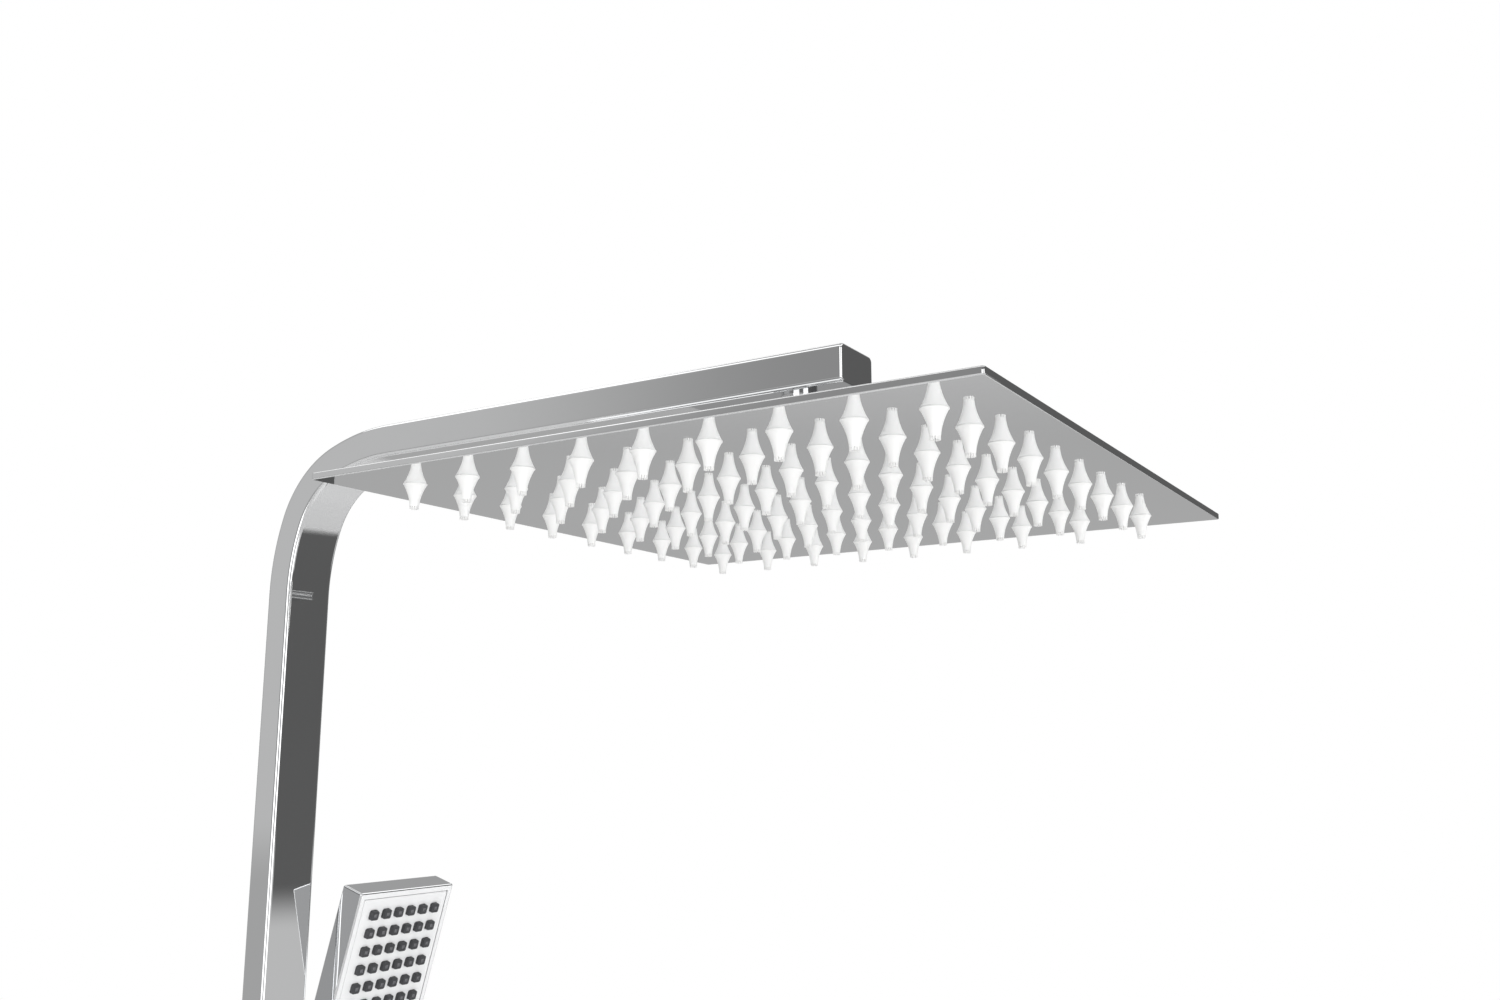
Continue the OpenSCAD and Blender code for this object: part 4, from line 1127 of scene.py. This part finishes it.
def drawGrip(bm):
    # along -X from the slider's side: boss, fluted grip with a domed end, and the screw inside
    grip, r = holderSet["gripFrom"], holderSet["gripRadius"]
    end = sliderLow.x - knobLow.x
    outline = [(holderSet["boss"], 0.3), (holderSet["boss"], grip), (r - 0.9, grip), (r - 0.2, grip + 0.3),
               (r, grip + 1.0), (r, grip + 1.05), (r, end - 1.65), (r, end - 1.6), (r - 0.3, end - 0.7),
               (r - 1.2, end - 0.2), (r - 3.0, end), (0.3, end - 0.15), (0.3, 0.3)]
    flutes = (holderSet["gripFlutes"], holderSet["gripDepth"], grip + 1.05, end - 1.65)
    turned(bm, outline, 240, closed=True, flutes=flutes)


def drawCradle(bm):
    r, half, e = cradleRadius, cradleHalf, holderSet["cradleEdge"]
    turned(bm, softened([(r, -half, e), (r, half, e), (0, half, 0), (0, -half, 0)], 5)[:-2], 120)


def drawCradleBore(bm):
    # the handle's cone with the liner round it
    slope = (handSet["wide"] - handSet["slim"]) / holderSet["coneLength"]
    start, reach = handSet["slim"] + holderSet["liner"], cradleHalf + 1
    turned(bm, [(start + (holderSet["coneTurn"] + z) * slope, z) for z in (-reach, reach)], 96)


cradleHigh = spanIn("holder_cradle", handPlace)[1]
cradleRadius, cradleHalf = cradleHigh.y, cradleHigh.z
slotHalf = holderSet["slot"] / 2
cradleSlot = block((-slotHalf, -2 * cradleRadius, -cradleHalf - 1), (slotHalf, 0, cradleHalf + 1))
neckLength = pivotAt.x - span("pivot_ring")[1].x
pivotEnd = neckLength + holderSet["pivotLength"]
neck = [(holderSet["neck"], cradleRadius - 6), (holderSet["neck"], neckLength - 0.8),
        (holderSet["neck"] - 0.8, neckLength)]
toSlider = facing(pivotAt, (-1, 0, 0))
acrossPivot = facing((0, pivotAt.y, holderZ), (1, 0, 0))
gripPlace = facing((sliderLow.x, tubeY, holderZ), (-1, 0, 0))
makePiece("holderSlider", drawSlider, ["holder_slider"], soften=holderSet["edge"], cuts=[
    (bar(linerHigh.x - linerLow.x, linerHigh.y - linerLow.y, sliderLow.z - 1, sliderHigh.z + 1,
         riserSet["corner"]), Matrix.Translation((0, tubeY, 0))),
    (rod(holderSet["bore"], sliderHigh.x - 9.5, sliderHigh.x + 1), acrossPivot),
    (rod(holderSet["screwHole"], 13, sliderHigh.x), acrossPivot),
    (rod(holderSet["screwHead"], 12, 19), acrossPivot),
    (rod(holderSet["clampScrew"] + 0.05, -1, 8), facing((sliderLow.x, tubeY, holderZ), (1, 0, 0))),
    (rod(holderSet["padHole"], linerHigh.x - 1, linerHigh.x + 1.5), facing((0, tubeY, holderZ), (-1, 0, 0))),
])
makePiece("clampGrip", drawGrip, ["clamp_knob"], gripPlace,
          adds=[(rod(holderSet["clampScrew"], -(knobHigh.x - sliderLow.x), 0.6, 32), gripPlace)])
makePiece("holderCradle", drawCradle, ["holder_cradle"], handPlace, adds=[
    (lambda bm: turned(bm, neck, 72), toSlider),
    (rod(holderSet["pivot"], neckLength - 1, pivotEnd), toSlider),
], cuts=[
    (drawCradleBore, handPlace), (cradleSlot, handPlace),
    (rod(holderSet["pivotBore"], neckLength, pivotEnd + 1, 24), toSlider),
])
print("holder made")


# Foot and wall bracket.

bracketSet = {
    "coverEdge": 1.6,
    "coverWall": 1.5,
    "coverCorner": 2.0,
    "postEdge": 0.6,
    "postCorner": 1.5,
    "postPlay": 0.2,       # between the post and the cover
    "collarEdge": 1.4,
    "collarCorner": 3.0,
    "tubePlay": 0.1,       # between the collar and the tube
    "plugBore": 6.05,      # for the wall plug in the post's back
    "studBore": 4.0,       # for the stud in its front
    "screwBore": 2.0,      # for the clamp screw from below
    "screwFrom": -13.5,    # of which the axis is this far from the wall
}
collarLow, collarHigh = span("riser_collar")
coverLow, coverHigh = span("bracket_cover")
postLow, postHigh = span("bracket_post")


bracketZ = (coverLow.z + coverHigh.z) / 2
bracketPlace = facing((0, 0, bracketZ), (0, -1, 0))
upright = Matrix.Translation((0, tubeY, 0))
size, play = collarHigh - collarLow, bracketSet["tubePlay"]
collar = bar(size.x, size.y, collarLow.z, collarHigh.z, bracketSet["collarCorner"],
             (0, bracketSet["collarEdge"]))
tubeSpace = bar(tubeWide + play, tubeDeep + play, collarLow.z - 1, collarHigh.z + 1, riserSet["corner"])
makePiece("riserCollar", collar, ["riser_collar"], upright, cuts=[(tubeSpace, upright)])

size, wall, corner = coverHigh - coverLow, bracketSet["coverWall"], bracketSet["coverCorner"]
cover = bar(size.x, size.z, 0, -coverLow.y, corner, (0, bracketSet["coverEdge"]))
coverSpace = bar(size.x - 2 * wall, size.z - 2 * wall, -1, -coverLow.y - wall, corner / 2)
size, play, corner = postHigh - postLow, bracketSet["postPlay"], bracketSet["postCorner"]
post = bar(size.x, size.z, -postHigh.y, -postLow.y, corner, (bracketSet["postEdge"], 0))
postSpace = bar(size.x + play, size.z + play, -1, 20, corner)
makePiece("bracketCover", cover, ["bracket_cover"], bracketPlace,
          cuts=[(coverSpace, bracketPlace), (postSpace, bracketPlace)])
makePiece("bracketPost", post, ["bracket_post"], bracketPlace, cuts=[
    (rod(bracketSet["plugBore"], 0, 23), bracketPlace),
    (rod(bracketSet["studBore"], 37, 51), bracketPlace),
    (rod(bracketSet["screwBore"], -18, 0, 24), Matrix.Translation((0, bracketSet["screwFrom"], bracketZ))),
])
print("foot and bracket made")


# Valve, unions and flanges.

valveSet = {
    "corner": 5.0,
    "edge": 1.0,            # rounding round the bar's ends
    "stub": 9.5,
    "stubFlange": 12.8,
    "waterway": 7.0,
    "cartridgeBore": 16.6,
    "cartridgeReach": 68.0,
    "riserSeat": 7.55,      # bores in the bar's top and bottom, and the way between them
    "riserWay": 4.5,
    "hoseSeat": 7.05,
    "grubBore": 2.0,        # in the bar's back
    "unionBody": 13.2,
    "unionNeck": 9.98,
    "nutChamfer": 1.2,
    "nutPlay": 0.05,
    "flangeEdge": 2.0,
    "flangeCorner": (3.0, 2.0),  # outside and inside
    "flangeWall": (2.0, 1.0),    # sides and front
    "flangePlay": 0.2,
    "outletSleeve": 7.0,
}
bodyLow, bodyHigh = span("valve_body")
unionLow, unionHigh = span("supply_unions")
nutsLow, nutsHigh = span("union_nuts")
flangesLow, flangesHigh = span("wall_flanges")
barHalf = (bodyHigh.z - bodyLow.z) / 2
flangeSide = flangesHigh.z - flangesLow.z
portX = flangesHigh.x - flangeSide / 2
barEnd = bodyHigh.x
toRoom = facing((0, 0, 0), (0, -1, 0))
alongBar = facing((0, tubeY, 0), (1, 0, 0))


def twice(draw):  # the same thing at both supplies
    return repeated(draw, [(-portX, 0, 0), (portX, 0, 0)])


def drawStub(bm):
    front, back = -bodyHigh.y, -(tubeY + barHalf)
    flange, stub = valveSet["stubFlange"], valveSet["stub"]
    turned(bm, [(flange - 0.3, front), (flange, front + 0.3), (flange, front + 2), (stub, front + 2),
                (stub, back + 1)], 64)


def drawUnion(bm):
    start, shoulder = -unionLow.y, -(flangesLow.y - 8)
    wide, neck, way = valveSet["unionBody"], valveSet["unionNeck"], valveSet["waterway"]
    turned(bm, softened([(way, -0.01, 0), (neck, -0.01, 0), (neck, shoulder, 0), (wide, shoulder, 0.6),
                         (wide, start, 0.4), (way, start, 0)], 4), 64, closed=True)
    threaded(bm, threadRadius, way, -unionHigh.y, 0)


def drawNutCone(bm):  # takes the corners off both ends of the hexagon
    outer, cut = nutRadius + 0.1, valveSet["nutChamfer"]
    low, high, inner = -nutsHigh.y, -nutsLow.y, nutRadius * math.cos(math.pi / 6) - 0.2
    turned(bm, [(inner, low), (outer, low + cut), (outer, high - cut), (inner, high)], 72)


outletLow, outletHigh = span("hose_outlet")
threadRadius, nutRadius = (outletHigh.x - outletLow.x) / 2, nutsHigh.x - portX
cartridgeBore, cartridgeReach = valveSet["cartridgeBore"], valveSet["cartridgeReach"]
valveBar = bar(2 * barHalf, 2 * barHalf, -barEnd, barEnd, valveSet["corner"], (valveSet["edge"],) * 2, 8)
makePiece("valveBody", valveBar, ["valve_body"], alongBar, adds=[(twice(drawStub), toRoom)], cuts=[
    (rod(cartridgeBore, cartridgeReach, barEnd + 1, 64), alongBar),
    (rod(cartridgeBore, -barEnd - 1, -cartridgeReach, 64), alongBar),
    (rod(valveSet["waterway"], -70, 70), alongBar),
    (twice(rod(valveSet["waterway"], 20, 57)), toRoom),
    (rod(valveSet["riserSeat"], barHalf - 14, barHalf + 1), upright),
    (rod(valveSet["riserWay"], -barHalf + 1, barHalf - 1), upright),
    (rod(valveSet["hoseSeat"], -barHalf - 1, -barHalf + 12), upright),
    (rod(valveSet["grubBore"], 20, 60, 24), facing((0, 0, barHalf - 4), (0, -1, 0))),
])
makePiece("supplyUnions", twice(drawUnion), ["supply_unions"], toRoom)
hexagon = rod(nutRadius, -nutsHigh.y, -nutsLow.y, 6)
makePiece("unionNuts", twice(hexagon), ["union_nuts"], toRoom, common=(twice(drawNutCone), toRoom), cuts=[
    (twice(rod(valveSet["unionBody"] + valveSet["nutPlay"], -nutsHigh.y - 1, -bodyHigh.y + 2)), toRoom),
    (twice(rod(valveSet["stub"] + valveSet["nutPlay"], 20, 40)), toRoom),
])
wall, front = valveSet["flangeWall"]
corner, innerCorner = valveSet["flangeCorner"]
inside = flangeSide - 2 * wall
flange = bar(flangeSide, flangeSide, 0, -flangesLow.y, corner, (0, valveSet["flangeEdge"]))
flangeSpace = bar(inside, inside, -1, -flangesLow.y - front, innerCorner)
makePiece("wallFlanges", twice(flange), ["wall_flanges"], toRoom, cuts=[
    (twice(flangeSpace), toRoom),
    (twice(rod(threadRadius + valveSet["flangePlay"], -1, 20)), toRoom),
])


def drawOutlet(bm):
    threaded(bm, threadRadius, valveSet["riserWay"], outletLow.z, -barHalf)


outletSleeve = sleeve(valveSet["riserWay"], valveSet["outletSleeve"], -barHalf - 0.2, outletHigh.z, 64)
makePiece("hoseOutlet", drawOutlet, ["hose_outlet"], upright, adds=[(outletSleeve, upright)])
print("valve made")


# Controls.

controlSet = {
    "corner": 4.0,
    "edge": 1.4,          # rounding of the knob's outer end
    "innerEdge": 0.6,
    "cup": 16.7,
    "cupDepth": 14.0,
    "seatDepth": 26.0,
    "spindle": 4.0,
    "capRadius": 6.2,
    "capDome": 0.5,
    "capDeep": 3.0,
    "screwBore": 1.6,
    "buttonBore": 4.55,
    "markWide": 1.2,      # index line cut in the front face
    "markDeep": 0.35,
    "markEnds": (16, 5),  # how far its ends are from the knob's outer end
}


def drawCapDisc(bm):
    r, dome = controlSet["capRadius"], controlSet["capDome"]
    turned(bm, [(r, -controlSet["capDeep"]), (r, -0.3), (r - 0.3, 0.0), (r * 0.75, dome * 0.35),
                (r * 0.4, dome * 0.8), (0.4, dome)], 72)


tempLow, tempHigh = span("temperature_knob")
knobSide, knobLong = tempHigh.z - tempLow.z, tempHigh.x - tempLow.x
buttonLow, buttonHigh = span("stop_button")
buttonAt = (buttonLow + buttonHigh) / 2
knob = bar(knobSide, knobSide, 0, knobLong, controlSet["corner"],
           (controlSet["innerEdge"], controlSet["edge"]), 8)
markHalf, face = controlSet["markWide"] / 2, -knobSide / 2
start, end = (knobLong - away for away in controlSet["markEnds"])
mark = block((face - 1, -markHalf, start), (face + controlSet["markDeep"], markHalf, end))
overButton = Matrix.Translation((buttonAt.x, buttonAt.y, 0))
seatDepth = controlSet["seatDepth"]
for name, node, cap, side in (("temperatureKnob", "temperature_knob", "temperature_cap", -1),
                              ("flowKnob", "flow_knob", "flow_cap", 1)):
    knobPlace = facing((-side * tempHigh.x, tubeY, 0), (side, 0, 0))
    capPlace = facing((side * (knobLong - tempHigh.x), tubeY, 0), (side, 0, 0))
    markTurn = identity if side > 0 else Matrix.Rotation(math.pi, 4, "Z")
    bores = [
        (rod(controlSet["cup"], -1, controlSet["cupDepth"], 64), knobPlace),
        (rod(controlSet["spindle"], -1, seatDepth), knobPlace),
        (rod(controlSet["screwBore"], -1, knobLong + 1, 24), knobPlace),
        (rod(controlSet["capRadius"], seatDepth + 2, knobLong + 1), knobPlace),
        (mark, knobPlace @ markTurn),
    ]
    if side < 0:
        bores.append((rod(controlSet["buttonBore"], 6, 30), Matrix.Translation((buttonAt.x, tubeY, 0))))
    makePiece(name, knob, [node], knobPlace, cuts=bores)
    makePiece(name + "Cap", drawCapDisc, [cap], capPlace)


def drawButton(bm):
    # a round button with a shallow dish in its top and a seat for the spring underneath
    r, low, high = (buttonHigh.x - buttonLow.x) / 2, buttonLow.z, buttonHigh.z
    outline = [(r - 1, low, 0), (r, low, 0.2), (r, high, 0.9), (r * 0.55, high, 0.3),
               (r * 0.5, high - 0.3, 0.2), (0.4, high - 0.45, 0), (0.4, low + 1, 0), (r - 1, low + 1, 0)]
    turned(bm, softened(outline, 4), 64, closed=True)


springSet = {"turns": 5.0, "wire": 0.32, "perTurn": 20, "round": 8}


def drawSpring(bm):
    # an open coil whose ends lie against the spindle's boss and the button
    size = springHigh - springLow
    wireRadius, steps = springSet["wire"], int(springSet["turns"] * springSet["perTurn"])
    coil = size.x / 2 - wireRadius
    rings = []
    for k in range(steps + 1):
        angle = 2 * math.pi * k / springSet["perTurn"]
        height = springLow.z + wireRadius + (size.z - 2 * wireRadius) * k / steps
        rings.append([around(coil + wireRadius * math.cos(a), angle, height + wireRadius * math.sin(a))
                      for a in anglesOf(springSet["round"])])
    skin(bm, rings)


springLow, springHigh = span("stop_spring")
press = joint("stop_press")
spring = makePiece("stopSpring", drawSpring, ["stop_spring"], overButton)
springTall = (springHigh.z - springLow.z) * mm
(springTall - max(map(abs, press["range_m"]))) / springTall
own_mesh(spring)
makePiece("stopButton", drawButton, ["stop_button"], overButton)
print("controls made")


# The nodes kept from the CAD take the same finishes.

kept = 0
for name, node in frame["nodes"].items():
    slotName = node.data.materials[0].name
    if slotName in finishes:
        for k in range(len(node.material_slots)):
            node.material_slots[k].link = "OBJECT"
            node.material_slots[k].material = finishes[slotName]
        kept += 1
print("finishes on CAD nodes:", kept)
